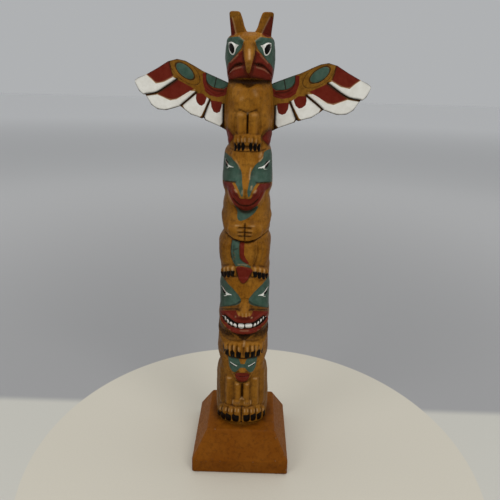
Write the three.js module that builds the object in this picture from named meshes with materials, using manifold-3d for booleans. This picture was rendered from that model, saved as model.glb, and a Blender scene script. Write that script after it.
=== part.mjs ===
// A small cast totem pole in painted resin, standing on a square bevelled plinth.
// From the foot up: a squatting figure with a small face, a grinning beast with hanging paws,
// a bear with clasped hands, and an eagle with two upright tufts and two board wings.
// Millimetres, +Z up. The origin is under the middle of the plinth and the front faces -Y.
import * as THREE from "three";
import { mergeVertices } from "three/addons/utils/BufferGeometryUtils.js";
import Module from "manifold-3d";

const wasm = await Module();
wasm.setup();

// Plinth
const plinthWidth = 64;
const plinthBand = 9.6;
const plinthHeight = 27.3;
const platformWidth = 45.2;
const plinthArris = 0.9;

// Pole: its height from the platform to the tips of the tufts, and the bottom figure's width
const poleHeight = 257.6;
const poleWidth = 36.6;
const tuftHeight = 10.5;
const tuftDepth = 9;

// Wings: how far each board reaches from the pole's axis, its thickness and its seat in the body
const leftReach = 65.9;
const rightReach = 69.1;
const wingThickness = 4.6;
const wingSeat = 3.2;
const seatClearance = 0.3;

// The carving was drawn on a pole of this size, with levels counted from the drawing's ground.
const drawnFoot = 27.3;
const drawnTop = 284.9;
const drawnWidth = 36.6;
const drawnRound = 16;
const rise = poleHeight / (drawnTop - drawnFoot);
const girth = poleWidth / drawnWidth;
const levelAt = (drawn) => plinthHeight + (drawn - drawnFoot) * rise;

// How closely the facets follow the carving
const poleTolerance = 0.48;
const wingTolerance = 0.4;

const resin = { color: 0x80561f, roughness: 0.5, metalness: 0 };
const darkResin = { color: 0x683c0d, roughness: 0.55, metalness: 0 };
const wingPaint = { color: 0x7a2a1a, roughness: 0.55, metalness: 0 };

const clamp = (value, low, high) => Math.min(high, Math.max(low, value));
const mix = (from, to, share) => from + (to - from) * share;

function ease(share) {
  const t = clamp(share, 0, 1);
  return t * t * (3 - 2 * t);
}

// Reads column k of a table whose rows rise or fall steadily in column 0.
function readOff(table, at, k = 1) {
  const rising = table[table.length - 1][0] > table[0][0];
  const rows = rising ? table : [...table].reverse();
  if (at <= rows[0][0]) return rows[0][k];
  for (let i = 1; i < rows.length; i++) {
    if (at > rows[i][0]) continue;
    const [low, high] = [rows[i - 1], rows[i]];
    return mix(low[k], high[k], (at - low[0]) / (high[0] - low[0]));
  }
  return rows[rows.length - 1][k];
}

function distanceToLine(points, x, y) {
  let nearest = Infinity;
  for (let i = 1; i < points.length; i++) {
    const [ax, ay] = points[i - 1];
    const [dx, dy] = [points[i][0] - ax, points[i][1] - ay];
    const along = clamp(((x - ax) * dx + (y - ay) * dy) / (dx * dx + dy * dy), 0, 1);
    nearest = Math.min(nearest, Math.hypot(x - ax - along * dx, y - ay - along * dy));
  }
  return nearest;
}

function isInside(points, x, y) {
  let inside = false;
  for (let i = 0, j = points.length - 1; i < points.length; j = i++) {
    const [[xi, yi], [xj, yj]] = [points[i], points[j]];
    if (yi > y !== yj > y && x < xi + ((xj - xi) * (y - yi)) / (yj - yi)) inside = !inside;
  }
  return inside;
}

// Each carved form says how far it stands out (or cuts in) at a place on the unrolled surface,
// x round the pole from the front and y up it. lowest and highest bound its work.

// A rounded swelling.
function swell([cx, cy], [halfWidth, halfHeight], lift, turn = 0) {
  const [cos, sin] = [Math.cos(turn), Math.sin(turn)];
  const reach = Math.max(halfWidth, halfHeight);
  const at = (x, y) => {
    const u = ((x - cx) * cos + (y - cy) * sin) / halfWidth;
    const v = ((y - cy) * cos - (x - cx) * sin) / halfHeight;
    const off = u * u + v * v;
    return off < 1 ? lift * Math.pow(1 - off, 0.75) : 0;
  };
  return { at, lowest: cy - reach, highest: cy + reach };
}

// A swelling whose foot runs out softly into the wood round it.
function mound([cx, cy], [halfWidth, halfHeight], lift) {
  const at = (x, y) => {
    const off = ((x - cx) / halfWidth) ** 2 + ((y - cy) / halfHeight) ** 2;
    return off < 1 ? lift * Math.pow(1 - off, 1.5) : 0;
  };
  return { at, lowest: cy - halfHeight, highest: cy + halfHeight };
}

// A rounded band along a line, or a groove where lift is below nought.
function band(line, width, lift) {
  const at = (x, y) => lift * ease(1 - distanceToLine(line, x, y) / width);
  const levels = line.map(([, y]) => y);
  return { at, lowest: Math.min(...levels) - width, highest: Math.max(...levels) + width };
}

// A flat panel with a soft edge, or a sunk one where lift is below nought.
function panel(outline, edge, lift) {
  const closed = [...outline, outline[0]];
  const at = (x, y) => {
    const off = distanceToLine(closed, x, y);
    return lift * ease(0.5 + (isInside(outline, x, y) ? off : -off) / edge);
  };
  const levels = outline.map(([, y]) => y);
  return { at, lowest: Math.min(...levels) - edge, highest: Math.max(...levels) + edge };
}

// A nose or beak down the middle: rows of level, half width and lift.
function nose(rows) {
  const levels = rows.map(([level]) => level);
  const [lowest, highest] = [Math.min(...levels), Math.max(...levels)];
  const at = (x, y) => {
    if (y < lowest || y > highest) return 0;
    const off = x / readOff(rows, y, 1);
    return Math.abs(off) < 1 ? readOff(rows, y, 2) * (1 - off * off) : 0;
  };
  return { at, lowest, highest };
}

// A row of toes, fingers, teeth or claws.
const row = (places, size, lift, turn = 0) => places.map((place) => swell(place, size, lift, turn));

// A form on one side only keeps its sign; every other form is mirrored about the middle.
const oneSided = (form) => ({ ...form, oneSided: true });

function squattingFigure() {
  const toes = [[2.6, 38.3], [6.6, 37.6], [10.9, 36.6], [14.8, 35.3]];
  const claws = [[-16.2, 31], [-12.2, 31.9], [-8.3, 32.9], [-3.6, 33.7], [3.1, 34], [7, 33.3],
    [11, 32.6], [15.3, 31.9]];
  return [
    panel([[-1, 41.4], [12, 40.8], [16.8, 37.5], [17.6, 29.5], [12, 28.6], [-1, 30.6]], 1.6, 1.1),
    ...row(toes, [1.9, 3.2], 0.8),
    ...row(claws, [1.8, 2.8], 0.7).map(oneSided),
    band([[0, 41.6], [0, 30]], 1.1, -0.8),
    band([[2.9, 59.3], [2.6, 52], [3, 46.5]], 2.4, 1.3),
    swell([3.4, 44.4], [2.9, 3.1], 1.1),
    band([[0, 58.6], [0, 49]], 1.4, -1.5),
    band([[8.6, 61.5], [9.2, 54], [9.2, 43.5]], 3.3, 1.5),
    band([[15, 65], [15.8, 54], [15, 42.5]], 3.6, 0.8),
    panel([[-1, 79], [8.4, 78.8], [8, 72.5], [5.6, 67], [3.8, 62.6], [-1, 61]], 1.8, 1.2),
    band([[1.2, 75.4], [4.5, 77], [8, 78]], 1.1, 0.5),
    nose([[75, 0.9, 0], [73, 1.4, 0.8], [70.8, 2.2, 1.8], [69.6, 2.1, 1], [69, 1.6, 0]]),
    swell([0, 65.6], [4.4, 4.4], 1.2),
    band([[0, 66.5], [2.4, 66.4], [4, 67]], 0.7, -0.6),
  ];
}

function grinningBeast() {
  const fingers = [[2.2, 87.6], [4.9, 87.4], [7.4, 87], [9.6, 86]];
  const claws = [[2.1, 82.3], [4.9, 82.3], [8.1, 82.2], [10.4, 80.8]];
  const mouthTop = [[-1, 105.2], [3, 105.1], [5.3, 105.8], [7, 107], [8.8, 108.2], [10.8, 108.8],
    [12.4, 107.6]];
  const mouthFoot = [[13.3, 106.6], [11, 104.6], [8.5, 102.6], [6.7, 101.4], [4, 100.8], [-1, 100.5]];
  const brow = [[-1, 135], [14, 133.6], [13, 130.8], [11.2, 129.2], [8, 127.3], [5.6, 125.2],
    [3.6, 122.9], [2.4, 121], [-1, 122.5]];
  return [
    panel([[-1, 91.2], [6.5, 91], [11.6, 88.6], [12.2, 82], [9.4, 80.2], [-1, 79.8]], 1.8, 1.3),
    ...row(fingers, [1.4, 3.3], 0.9),
    ...row(claws, [1.15, 3.1], 0.9),
    band([[0, 91.4], [0, 81]], 0.9, -0.6),
    band([[10.5, 88], [18, 92], [27, 97]], 4.2, 0.9),
    swell([0, 106.5], [16.5, 9.5], 1.7),
    nose([
      [123, 1.8, 0], [119.5, 2.3, 0.8], [116, 3.3, 2], [113, 4.6, 2.8], [110.8, 4.9, 2.6],
      [109, 4.4, 1.4], [107, 3.4, 0],
    ]),
    mound([3.4, 110.8], [2.2, 2.4], 0.5),
    band([[0, 106.6], [4, 107], [7, 108.6], [11, 110.4], [15, 108.6]], 1.5, 0.8),
    panel([...mouthTop, ...mouthFoot], 0.9, -1.6),
    band([[0, 102.8], [3.6, 102.9], [6.6, 103.6], [9.4, 105.2], [12, 107]], 2.4, 1.1),
    band([[-1, 98.2], [4, 98.3], [7, 98.8], [9.4, 101], [13.8, 105.2]], 2.2, 1.5),
    swell([0, 98], [7.6, 3], 0.8),
    band([[-1, 94.8], [3, 94.8], [6, 95.4], [10, 98.4]], 1.2, -0.7),
    panel(brow, 1.8, 1),
    band([[2.7, 118.8], [4.4, 117], [8.5, 115], [12, 113.8], [18, 110.6]], 0.9, -0.5),
    swell([13.2, 122.6], [4.4, 2.6], 0.8, 0.25),
  ];
}

function bear() {
  const toes = [[6.8, 139.9], [9.8, 139], [12.6, 137.8], [15.4, 136.4]];
  const claws = [[6.5, 137.2], [9.6, 136.2], [12.5, 135], [15.3, 133.8]];
  const flap = [[-5, 141.2], [-1.4, 142], [1.6, 141], [5, 139.4], [4, 136.4], [2, 132.8], [0.2, 131.3],
    [-1.2, 131.6], [-3.4, 135.2]];
  const brow = [[-1, 212.5], [9.5, 211.6], [10.6, 208.6], [8.6, 206], [5, 203.4], [3, 200.4],
    [2.1, 196.4], [1.3, 192], [0.9, 190], [-1, 190]];
  return [
    panel([[4.8, 141.2], [9, 141.2], [16.5, 138.4], [17.8, 133], [13, 132], [4.8, 135.6]], 1.6, 1.4),
    ...row(toes, [1.4, 2], 0.7),
    ...row(claws, [1.35, 2.1], 0.7, -0.3),
    oneSided(panel(flap, 1, 0.9)),
    swell([0, 150.4], [8, 9.5], 0.9),
    oneSided(band([[-2.6, 157.4], [-2.6, 149], [-1.6, 146], [3.4, 142.6]], 0.6, -0.4)),
    band([[8.4, 156.6], [8.6, 150], [7.4, 144.5], [6.2, 141.8]], 1.5, -0.5),
    swell([14.5, 149], [7, 8.5], 1),
    band([[0, 157.4], [3, 157.4], [6, 158.2], [12, 160.8], [22, 164]], 1.2, -1.2),
    panel([[-1, 169.6], [4.5, 169.6], [9.5, 169], [10.5, 161.4], [7, 159], [-1, 158.2]], 2.6, 1.2),
    ...[166.6, 163.9, 161.4].map((level) => band([[0.5, level], [3.4, level]], 0.75, -0.7)),
    band([[0, 169], [0, 158.8]], 0.8, -0.8),
    band([[5, 164.4], [14, 167.4], [24, 172]], 4.8, 1.1),
    panel([[-1, 178], [8.6, 179.4], [5.6, 174.8], [2.6, 171.2], [-1, 170.6]], 1.4, -0.8),
    mound([0, 186.8], [14, 12], 5.6),
    swell([0, 179.4], [6.4, 3.4], 0.5),
    band([[-1, 180.2], [2, 180.4], [4.4, 181.8], [6.8, 184.6], [9, 188]], 1, -0.7),
    swell([4.9, 189.2], [2.6, 2.6], 0.7, 0.6),
    nose([
      [205, 5, 0], [200, 3.4, 0.3], [196, 2.7, 0.5], [191, 2.5, 0.8], [187.6, 2.7, 1.3],
      [186, 2.5, 0.8], [184.6, 1.8, 0],
    ]),
    band([[0, 190.4], [0, 186.4]], 0.8, -0.6),
    band([[6.4, 193.2], [4.2, 191], [2.9, 188.2], [2.2, 185.6]], 0.9, 0.6),
    band([[7, 193.4], [11, 193.2], [17, 192.6]], 0.8, -0.6),
    panel(brow, 1.6, 1),
    swell([12.4, 202.8], [4.8, 2.7], 0.9, 0.42),
    panel([[8.5, 218.5], [10.5, 221], [14, 222.6], [20, 222.6], [22, 219], [20, 215], [16, 214.4],
      [12.5, 216]], 1.4, 0.5),
  ];
}

function eagle() {
  const toes = [[2.4, 217.6], [4.9, 217.5], [7.3, 217.1]];
  const claws = [[2.4, 213.9], [4.95, 213.7], [7.5, 213.1]];
  const socket = [[3.6, 268.4], [7, 270], [14.5, 271.6], [16.5, 266], [14, 258.2], [9.8, 261],
    [7, 263.3], [4.8, 265.6]];
  return [
    panel([[-1, 220.4], [8, 220.2], [8.8, 216], [8.4, 214.2], [-1, 214.4]], 1.4, 1.1),
    ...row(toes, [1.1, 2.7], 0.7),
    ...row(claws, [1.1, 2.2], 0.8),
    band([[3.9, 230.8], [3.9, 222]], 3.2, 1.6),
    swell([3.8, 230.6], [3.2, 2.5], 0.6),
    band([[0, 231.4], [0, 221.5]], 1, -1.5),
    swell([10.5, 226.5], [5, 7], 0.8),
    panel([[-1, 244.8], [1.5, 245.6], [5.5, 247], [9, 246.6], [11, 243], [8, 234.5], [-1, 233]], 3, 0.9),
    nose([
      [270, 2.6, 0], [268, 3.3, 0.9], [265, 3.8, 2.1], [262, 3.7, 3.3], [259, 3.1, 4.2],
      [256, 2.3, 4.5], [253.6, 1.7, 3.9], [251.8, 1.2, 2.2], [250.4, 0.8, 0],
    ]),
    mound([0, 258], [6.4, 8], 0.8),
    swell([0, 253], [13, 4], 0.9),
    band([[3.4, 257.6], [6, 257.4], [10, 256.4], [13.5, 254.6], [18, 252.4]], 1, -0.9),
    band([[3.4, 268.4], [7, 270.4], [12.5, 271.8], [17, 271.4]], 1.5, 0.9),
    panel(socket, 1.1, -0.7),
    swell([12.2, 265.6], [3.9, 3.2], 0.9, 0.35),
    band([[5, 263.2], [8.5, 260.8], [13.5, 257.6]], 1.2, 0.5),
  ];
}

const carvings = [
  { middle: 0.1, forms: squattingFigure() },
  { middle: 0.4, forms: grinningBeast() },
  { middle: -0.6, forms: bear() },
  { middle: -0.7, forms: eagle() },
];

function carved(x, level) {
  let sum = 0;
  for (const { middle, forms } of carvings) {
    for (const form of forms) {
      if (level < form.lowest || level > form.highest) continue;
      sum += form.at(form.oneSided ? x - middle : Math.abs(x - middle), level);
    }
  }
  return sum;
}

// The pole's plain outlines under the carving, as rows of level and radius
const frontOutline = [
  [27.3, 17.9], [31, 17.5], [36, 17.4], [40, 17], [48, 16.6], [60, 16.9], [70, 17.9], [77, 17.4],
  [79.4, 17.2], [80.6, 17.9], [86, 17.9], [91, 17.2], [93, 16], [95.4, 15.8], [97, 17], [100, 17.9],
  [103, 18.3], [112, 18.2], [118, 17.4], [124, 16.8], [130, 16.2], [132, 15.6], [139, 15.8], [147, 16.4],
  [155, 16.6], [157.6, 15.6], [160, 16], [165, 16.4], [170, 15.8], [173, 15.1], [176.3, 14.4],
  [180, 14.9], [184, 14.9], [188, 15.3], [191, 16.6], [194, 17.1], [200, 16], [206, 15], [211, 14.2],
  [213.5, 13.8], [217, 14.9], [222, 15], [232, 15.4], [240, 15.4], [245, 14.4], [248.2, 12.4],
  [249.2, 12.6], [250.4, 14.2], [256, 14.4], [262, 14.4], [267, 14.2], [269.5, 13.8],
];
const sideOutline = [
  [27.3, 17.7], [46, 17.95], [51, 17.7], [61, 17.4], [66, 16.6], [69, 15.1], [70.4, 14.5], [71.6, 14.5],
  [73.5, 15.6], [76, 16.7], [80, 17], [87, 16.6], [92, 16.1], [97, 15.8], [100, 16.2], [104.5, 16.8],
  [108, 16.5], [111, 16.1], [120, 16], [126, 16.2], [130, 15.6], [132.3, 15.3], [138.5, 15.7],
  [147, 16.1], [154.7, 16.5], [157.5, 16], [159.6, 15], [161, 14.1], [162, 14.2], [164.4, 14.8],
  [168, 14.6], [174, 14.5], [177.3, 14.7], [179.5, 14.5], [181, 14.3],
  [184.6, 13.6], [186.5, 13.9], [188, 14.6], [190.5, 15.2], [195, 15.2], [204, 14.7], [209, 14.2],
  [211, 13.7], [212.6, 13], [214, 12.2], [215.4, 11.9], [217.6, 12.3], [219.7, 12.9], [221.8, 13.4],
  [222.8, 13.9], [229, 14.7], [234, 14.4],
  [240, 14], [246, 13.2], [248.6, 12.5], [250, 12.6], [252, 13.1], [257, 13.7], [261, 14.2],
  [266, 14], [269.5, 13.5],
];
const backOutline = [
  [27.3, 17.6], [60, 17], [70, 16], [80, 16.4], [110, 16.2], [131, 15.2], [150, 15.8], [159, 14.6],
  [175, 14.6], [184, 13.2], [200, 14.6], [213, 12.7], [228, 14.4], [242, 14], [249, 12.6],
  [258, 13.4], [266, 13.3], [269.5, 13],
];
// How far the carver let each level lean towards the right wing
const leanOutline = [
  [27.3, 0], [46, 0], [52, -0.3], [66, -0.4], [98, -0.3], [108, 0], [139, 0], [143, -0.7],
  [155, -0.7], [160, 0], [211, 0], [214, 0.5], [221, 0.5], [223, 0], [256, 0], [260, -0.25],
  [269.5, -0.25],
];

function poleRadius(angle, level) {
  const facing = Math.cos(angle);
  const [front, back] = [ease((facing - 0.15) / 0.6), ease((-facing - 0.15) / 0.6)];
  const plain =
    front * readOff(frontOutline, level) +
    back * readOff(backOutline, level) +
    (1 - front - back) * readOff(sideOutline, level) +
    Math.sin(angle) * readOff(leanOutline, level);
  const fading = ease((facing + 0.35) / 0.5);
  return girth * (plain + fading * carved(drawnRound * angle, level));
}

// The head closes in a rounded crown that rises a little way between the tufts.
const crownFoot = 269.5;
const crownTop = drawnTop - tuftHeight + 0.4;
const crownRounding = 0.7;
const crownShare = 0.08;
const crownHole = 0.04;

function polePoint(around, along) {
  const turn = 2 * around - 1;
  const angle = Math.PI * turn * (0.72 + 0.28 * turn * turn);
  const share = clamp((along - 1 + crownShare) / crownShare, 0, 1);
  const level = mix(drawnFoot, crownFoot, Math.min(1, along / (1 - crownShare)));
  const bend = (share * Math.PI) / 2;
  const narrowing = Math.pow(Math.max(0, Math.cos(bend)), crownRounding);
  const radius = poleRadius(angle, level) * Math.max(crownHole, narrowing);
  return new THREE.Vector3(
    radius * Math.sin(angle),
    -radius * Math.cos(angle),
    levelAt(level + (crownTop - crownFoot) * Math.sin(bend)),
  );
}

// A closed skin round an axis. place(around, along) gives its points, with around running from
// 0 to 1 once round and along from the flat start to the flat end. The facets are right triangles
// halved wherever the surface bends away from them by more than the tolerance.
function closedSkin(place, tilesAround, tilesAlong, cells, tolerance) {
  const columns = tilesAround * cells;
  const rows = tilesAlong * cells;
  const idOf = (column, step) => step * columns + (column % columns);
  const points = [];
  for (let step = 0; step <= rows; step++) {
    for (let column = 0; column < columns; column++) points.push(place(column / columns, step / rows));
  }
  const bend = new Float64Array(points.length);
  const halfway = ([a, b], [c, d]) => [(a + c) / 2, (b + d) / 2];
  const canHalve = ([a, b], [c, d]) => (a + c) % 2 === 0 && (b + d) % 2 === 0;

  const corners = [];
  for (let i = 0; i < tilesAround; i++) {
    for (let j = 0; j < tilesAlong; j++) {
      const [left, right, low, high] = [i * cells, (i + 1) * cells, j * cells, (j + 1) * cells];
      const [p, q, r, s] = [[left, low], [right, low], [right, high], [left, high]];
      if ((i + j) % 2 === 0) corners.push([p, r, q], [r, p, s]);
      else corners.push([q, s, r], [s, q, p]);
    }
  }

  // The need to halve a triangle is never less than that of the smaller ones inside it.
  let changed = true;
  const measure = (a, b, c) => {
    if (!canHalve(a, b)) return 0;
    const m = halfway(a, b);
    const id = idOf(...m);
    const flat = points[idOf(...a)].clone().add(points[idOf(...b)]).multiplyScalar(0.5);
    const need = Math.max(bend[id], flat.distanceTo(points[id]), measure(c, a, m), measure(b, c, m));
    if (need > bend[id]) {
      bend[id] = need;
      changed = true;
    }
    return need;
  };
  while (changed) {
    changed = false;
    for (const [a, b, c] of corners) measure(a, b, c);
  }

  const faces = [];
  const halve = (a, b, c) => {
    if (canHalve(a, b)) {
      const m = halfway(a, b);
      if (bend[idOf(...m)] > tolerance) {
        halve(c, a, m);
        halve(b, c, m);
        return;
      }
    }
    faces.push([idOf(...a), idOf(...b), idOf(...c)]);
  };
  for (const [a, b, c] of corners) halve(a, b, c);

  // Each end is closed by a fan from its middle to the points in use on its rim.
  const used = new Set(faces.flat());
  for (const step of [0, rows]) {
    const rim = [];
    for (let column = 0; column < columns; column++) {
      if (used.has(idOf(column, step))) rim.push(idOf(column, step));
    }
    const middle = rim.reduce((sum, id) => sum.add(points[id]), new THREE.Vector3());
    points.push(middle.divideScalar(rim.length));
    rim.forEach((id, i) => faces.push([points.length - 1, id, rim[(i + 1) % rim.length]]));
    if (step === 0) faces.slice(-rim.length).forEach((face) => face.reverse());
  }
  return facesOut(points, faces);
}

// An indexed geometry whose faces are turned to point out of the closed form.
function facesOut(points, faces) {
  const sides = new Map();
  faces.forEach((face, f) => {
    face.forEach((id, k) => {
      const next = face[(k + 1) % 3];
      const key = Math.min(id, next) + "/" + Math.max(id, next);
      if (!sides.has(key)) sides.set(key, []);
      sides.get(key).push([f, id < next]);
    });
  });
  const turned = new Map([[0, false]]);
  const queue = [0];
  while (queue.length) {
    const f = queue.pop();
    faces[f].forEach((id, k) => {
      const next = faces[f][(k + 1) % 3];
      const pair = sides.get(Math.min(id, next) + "/" + Math.max(id, next));
      for (const [g, forward] of pair) {
        if (turned.has(g)) continue;
        turned.set(g, forward === id < next ? !turned.get(f) : turned.get(f));
        queue.push(g);
      }
    });
  }
  faces.forEach((face, f) => {
    if (turned.get(f)) face.reverse();
  });
  const volume = faces.reduce((sum, [a, b, c]) => {
    return sum + points[a].dot(points[b].clone().cross(points[c]));
  }, 0);
  if (volume < 0) faces.forEach((face) => face.reverse());
  const geometry = new THREE.BufferGeometry().setFromPoints(points);
  geometry.setIndex(faces.flat());
  return geometry;
}

// Joins and cuts
function solidFrom(geometry) {
  const bare = geometry.clone();
  bare.deleteAttribute("normal");
  bare.deleteAttribute("uv");
  const merged = mergeVertices(bare, 1e-4);
  return new wasm.Manifold(
    new wasm.Mesh({
      numProp: 3,
      vertProperties: new Float32Array(merged.attributes.position.array),
      triVerts: new Uint32Array(merged.index.array),
    }),
  );
}

function geometryFrom(solid) {
  const { vertProperties, triVerts } = solid.getMesh();
  const geometry = new THREE.BufferGeometry();
  geometry.setAttribute("position", new THREE.BufferAttribute(vertProperties, 3));
  geometry.setIndex(new THREE.BufferAttribute(triVerts, 1));
  return geometry;
}

// One of the two flat-topped tufts on the eagle's head, for side -1 or 1.
function tuft(side) {
  const top = plinthHeight + poleHeight;
  const root = levelAt(crownTop) - 5;
  const notch = levelAt(crownTop) - 0.6;
  const outline = [
    [11.2, root], [11.3, top - tuftHeight], [12.2, top - 1.2], [11.6, top], [7.4, top], [6.7, top - 0.9],
    [5.2, mix(notch, top, 0.42)], [3.6, mix(notch, top, 0.16)], [2.2, notch], [2.2, root],
  ].map(([x, z]) => new THREE.Vector2(side * x * girth, z));
  const body = new THREE.ExtrudeGeometry(new THREE.Shape(outline), { depth: tuftDepth, bevelEnabled: false });
  body.rotateX(Math.PI / 2);
  body.translate(0, tuftDepth / 2, 0);
  return solidFrom(body);
}

const carvedPole = closedSkin(polePoint, 2, 4, 64, poleTolerance);

// Wing outlines as rows of distance from the axis and level, as drawn for both boards
const wingTop = [
  [8, 246], [12, 248], [20, 251.2], [27, 254], [32.5, 257], [37, 259.2], [41.5, 260], [46.5, 258.7],
  [53, 255], [60.5, 251.2], [65, 249.6], [67.5, 248.2],
];
const wingFoot = [
  [8, 219.4], [12, 221], [17.3, 223.8], [25.6, 227], [26.4, 228.4], [27.6, 227.9], [30.5, 229],
  [34, 230], [38.7, 233.5], [40.2, 234.6], [44, 233.3], [48.6, 232], [53.8, 232.4], [57.7, 234.8],
  [60.4, 239.2], [61.3, 240.6], [62.4, 240.4], [65, 242.2], [67.5, 246.8],
];
const featherGrooves = [
  [[61, 240.4], [54.1, 241.4], [41.7, 249.2]],
  [[39.8, 234.8], [30.7, 242.2]],
  [[26.8, 228], [25.2, 232.5], [23, 238.4]],
  [[15, 223], [14.9, 236]],
];
const ovalMiddle = [37, 253.7];
const ovalTurn = -0.72;

// How far each board was cut beyond the drawing, as rows of distance from the axis and stretch
const leftStretch = [[14, 0], [48, 0], [60.4, -1.1], [65.9, -1.6]];
const rightStretch = [[16, 0], [25, 0.6], [32, 1.8], [40, 2.7], [52, 2.6], [64, 2.7], [69.1, 1.6]];

function wingRelief(x, level) {
  const cuts = featherGrooves.map((line) => band(line, 1, -0.7).at(x, level));
  const oval = swell(ovalMiddle, [8, 4.1], 0.5, ovalTurn).at(x, level);
  const arm = band([[27, 253], [26, 245], [19.5, 240.6], [14, 242.5]], 0.8, -0.35).at(x, level);
  return Math.min(...cuts) + oval + arm;
}

// The board's closed loop at one distance from the axis: up the front, over the top edge, down
// the back and under. faceShare of each half of the loop is a face and the rest is an edge.
const faceShare = 7 / 8;

function boardLoop(around) {
  const half = (around * 2) % 1;
  const side = around < 0.5 ? 1 : -1;
  const [face, edge] = [Math.min(1, half / faceShare), Math.max(0, (half - faceShare) / (1 - faceShare))];
  return [side * (2 * face - 1), side * (2 * edge - 1)];
}

function wingPoint(reach, stretch, around, along) {
  const inner = seatedRoot / girth;
  const place = mix(inner, stretch.at(-1)[0], along);
  const x = place - readOff(stretch, place);
  const [low, high] = [readOff(wingFoot, x), readOff(wingTop, x)];
  const [height, across] = boardLoop(around);
  const level = mix(low, high, (height + 1) / 2);
  const shown = ease((x - inner) / 4) * (across < 0 ? 1 : 0.5);
  const relief = Math.abs(across) === 1 ? wingRelief(x, level) * shown : 0;
  const thick = wingThickness / 2 + relief;
  return new THREE.Vector3(mix(seatedRoot, reach, along), across * thick, levelAt(level));
}

// Where the wing enters the body and how deep its seat goes
const wingLevel = 235;
const bodyHalf = poleRadius(Math.PI / 2, wingLevel);
const seatedRoot = bodyHalf - wingSeat;

function wingSeatCut(side, reach) {
  const foot = levelAt(readOff(wingFoot, seatedRoot / girth)) - seatClearance;
  const top = levelAt(readOff(wingTop, (seatedRoot + 1) / girth)) + seatClearance;
  const depth = reach - seatedRoot + seatClearance;
  const slot = new THREE.BoxGeometry(depth, wingThickness + 2 * seatClearance, top - foot);
  slot.translate(side * (seatedRoot - seatClearance + depth / 2), 0, (foot + top) / 2);
  return solidFrom(slot);
}

function poleSolid() {
  let solid = solidFrom(carvedPole);
  for (const [side, reach] of [[-1, leftReach], [1, rightReach]]) {
    solid = solid.add(tuft(side));
    solid = solid.subtract(wingSeatCut(side, reach));
  }
  return geometryFrom(solid);
}

// The plinth: square rings with rounded corners, from the underside up.
const cornerSteps = 3;

function squareRing(half, corner, level) {
  const ring = [];
  for (let quarter = 0; quarter < 4; quarter++) {
    for (let step = 0; step <= cornerSteps; step++) {
      const angle = ((quarter + step / cornerSteps) * Math.PI) / 2;
      const [cx, cy] = [[1, 1], [-1, 1], [-1, -1], [1, -1]][quarter];
      ring.push(
        new THREE.Vector3(
          cx * (half - corner) + corner * Math.cos(angle),
          cy * (half - corner) + corner * Math.sin(angle),
          level,
        ),
      );
    }
  }
  return ring;
}

function plinthGeometry() {
  const [wide, narrow] = [plinthWidth / 2, platformWidth / 2];
  const a = plinthArris;
  const slope = (wide - narrow) / (plinthHeight - plinthBand);
  const rings = [
    squareRing(wide - a, a, 0),
    squareRing(wide, a * 1.6, a),
    squareRing(wide, a * 1.6, plinthBand - a * 0.6),
    squareRing(wide - a * slope, a * 1.6, plinthBand + a * 0.6),
    squareRing(narrow + a * slope, a * 1.6, plinthHeight - a),
    squareRing(narrow - a * 0.6, a, plinthHeight),
  ];
  const count = rings[0].length;
  const points = rings.flat();
  const faces = [];
  for (let r = 1; r < rings.length; r++) {
    for (let i = 0; i < count; i++) {
      const [p, q] = [(r - 1) * count + i, (r - 1) * count + ((i + 1) % count)];
      faces.push([p, q, q + count], [p, q + count, p + count]);
    }
  }
  const last = (rings.length - 1) * count;
  for (let i = 1; i < count - 1; i++) {
    faces.push([0, i, i + 1], [last, last + i, last + i + 1]);
  }
  return facesOut(points, faces);
}

function namedMesh(name, geometry, look) {
  const mesh = new THREE.Mesh(geometry, new THREE.MeshStandardMaterial(look));
  mesh.name = name;
  return mesh;
}

const wingGeometry = (reach, stretch) =>
  closedSkin((around, along) => wingPoint(reach, stretch, around, along), 2, 2, 32, wingTolerance);
const leftWing = namedMesh("left_wing", wingGeometry(leftReach, leftStretch), wingPaint);
leftWing.scale.x = -1;
const rightWing = namedMesh("right_wing", wingGeometry(rightReach, rightStretch), wingPaint);

const totemPole = new THREE.Group();
totemPole.add(namedMesh("plinth", plinthGeometry(), darkResin));
totemPole.add(namedMesh("pole", poleSolid(), resin));
totemPole.add(leftWing);
totemPole.add(rightWing);

export default totemPole;
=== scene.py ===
# Looks of a small painted totem pole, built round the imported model.
from functools import partial
from math import ceil, cos, pi, radians, sin

import bpy
import numpy as np
from mathutils import Matrix, Vector


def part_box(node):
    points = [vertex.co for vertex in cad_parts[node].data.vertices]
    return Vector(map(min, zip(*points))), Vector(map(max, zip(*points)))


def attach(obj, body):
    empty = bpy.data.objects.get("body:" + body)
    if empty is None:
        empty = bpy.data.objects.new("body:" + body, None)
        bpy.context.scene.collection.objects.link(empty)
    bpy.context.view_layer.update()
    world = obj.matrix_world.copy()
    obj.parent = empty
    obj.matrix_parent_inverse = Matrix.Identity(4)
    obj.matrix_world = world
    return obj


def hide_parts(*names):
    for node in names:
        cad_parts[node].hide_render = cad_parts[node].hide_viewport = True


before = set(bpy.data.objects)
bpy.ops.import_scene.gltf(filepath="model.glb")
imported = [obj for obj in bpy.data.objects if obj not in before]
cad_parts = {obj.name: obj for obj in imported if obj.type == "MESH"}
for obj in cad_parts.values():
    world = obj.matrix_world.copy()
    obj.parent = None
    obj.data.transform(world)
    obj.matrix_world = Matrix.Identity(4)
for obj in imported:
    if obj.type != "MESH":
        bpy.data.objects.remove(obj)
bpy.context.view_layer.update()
mm = 0.001

# Camera, where the photograph was taken from
cameraSettings = {
    "place": (0.00406, -0.28908, 0.24148),
    "heading": -0.268,  # degrees round from +Y towards +X
    "pitch": 18.019,  # degrees down
    "roll": 1.63,
    "lens": 34.2,
    "sensor": 36,
}


def addObject(name, data):
    made = bpy.data.objects.new(name, data)
    bpy.context.scene.collection.objects.link(made)
    return made


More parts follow.
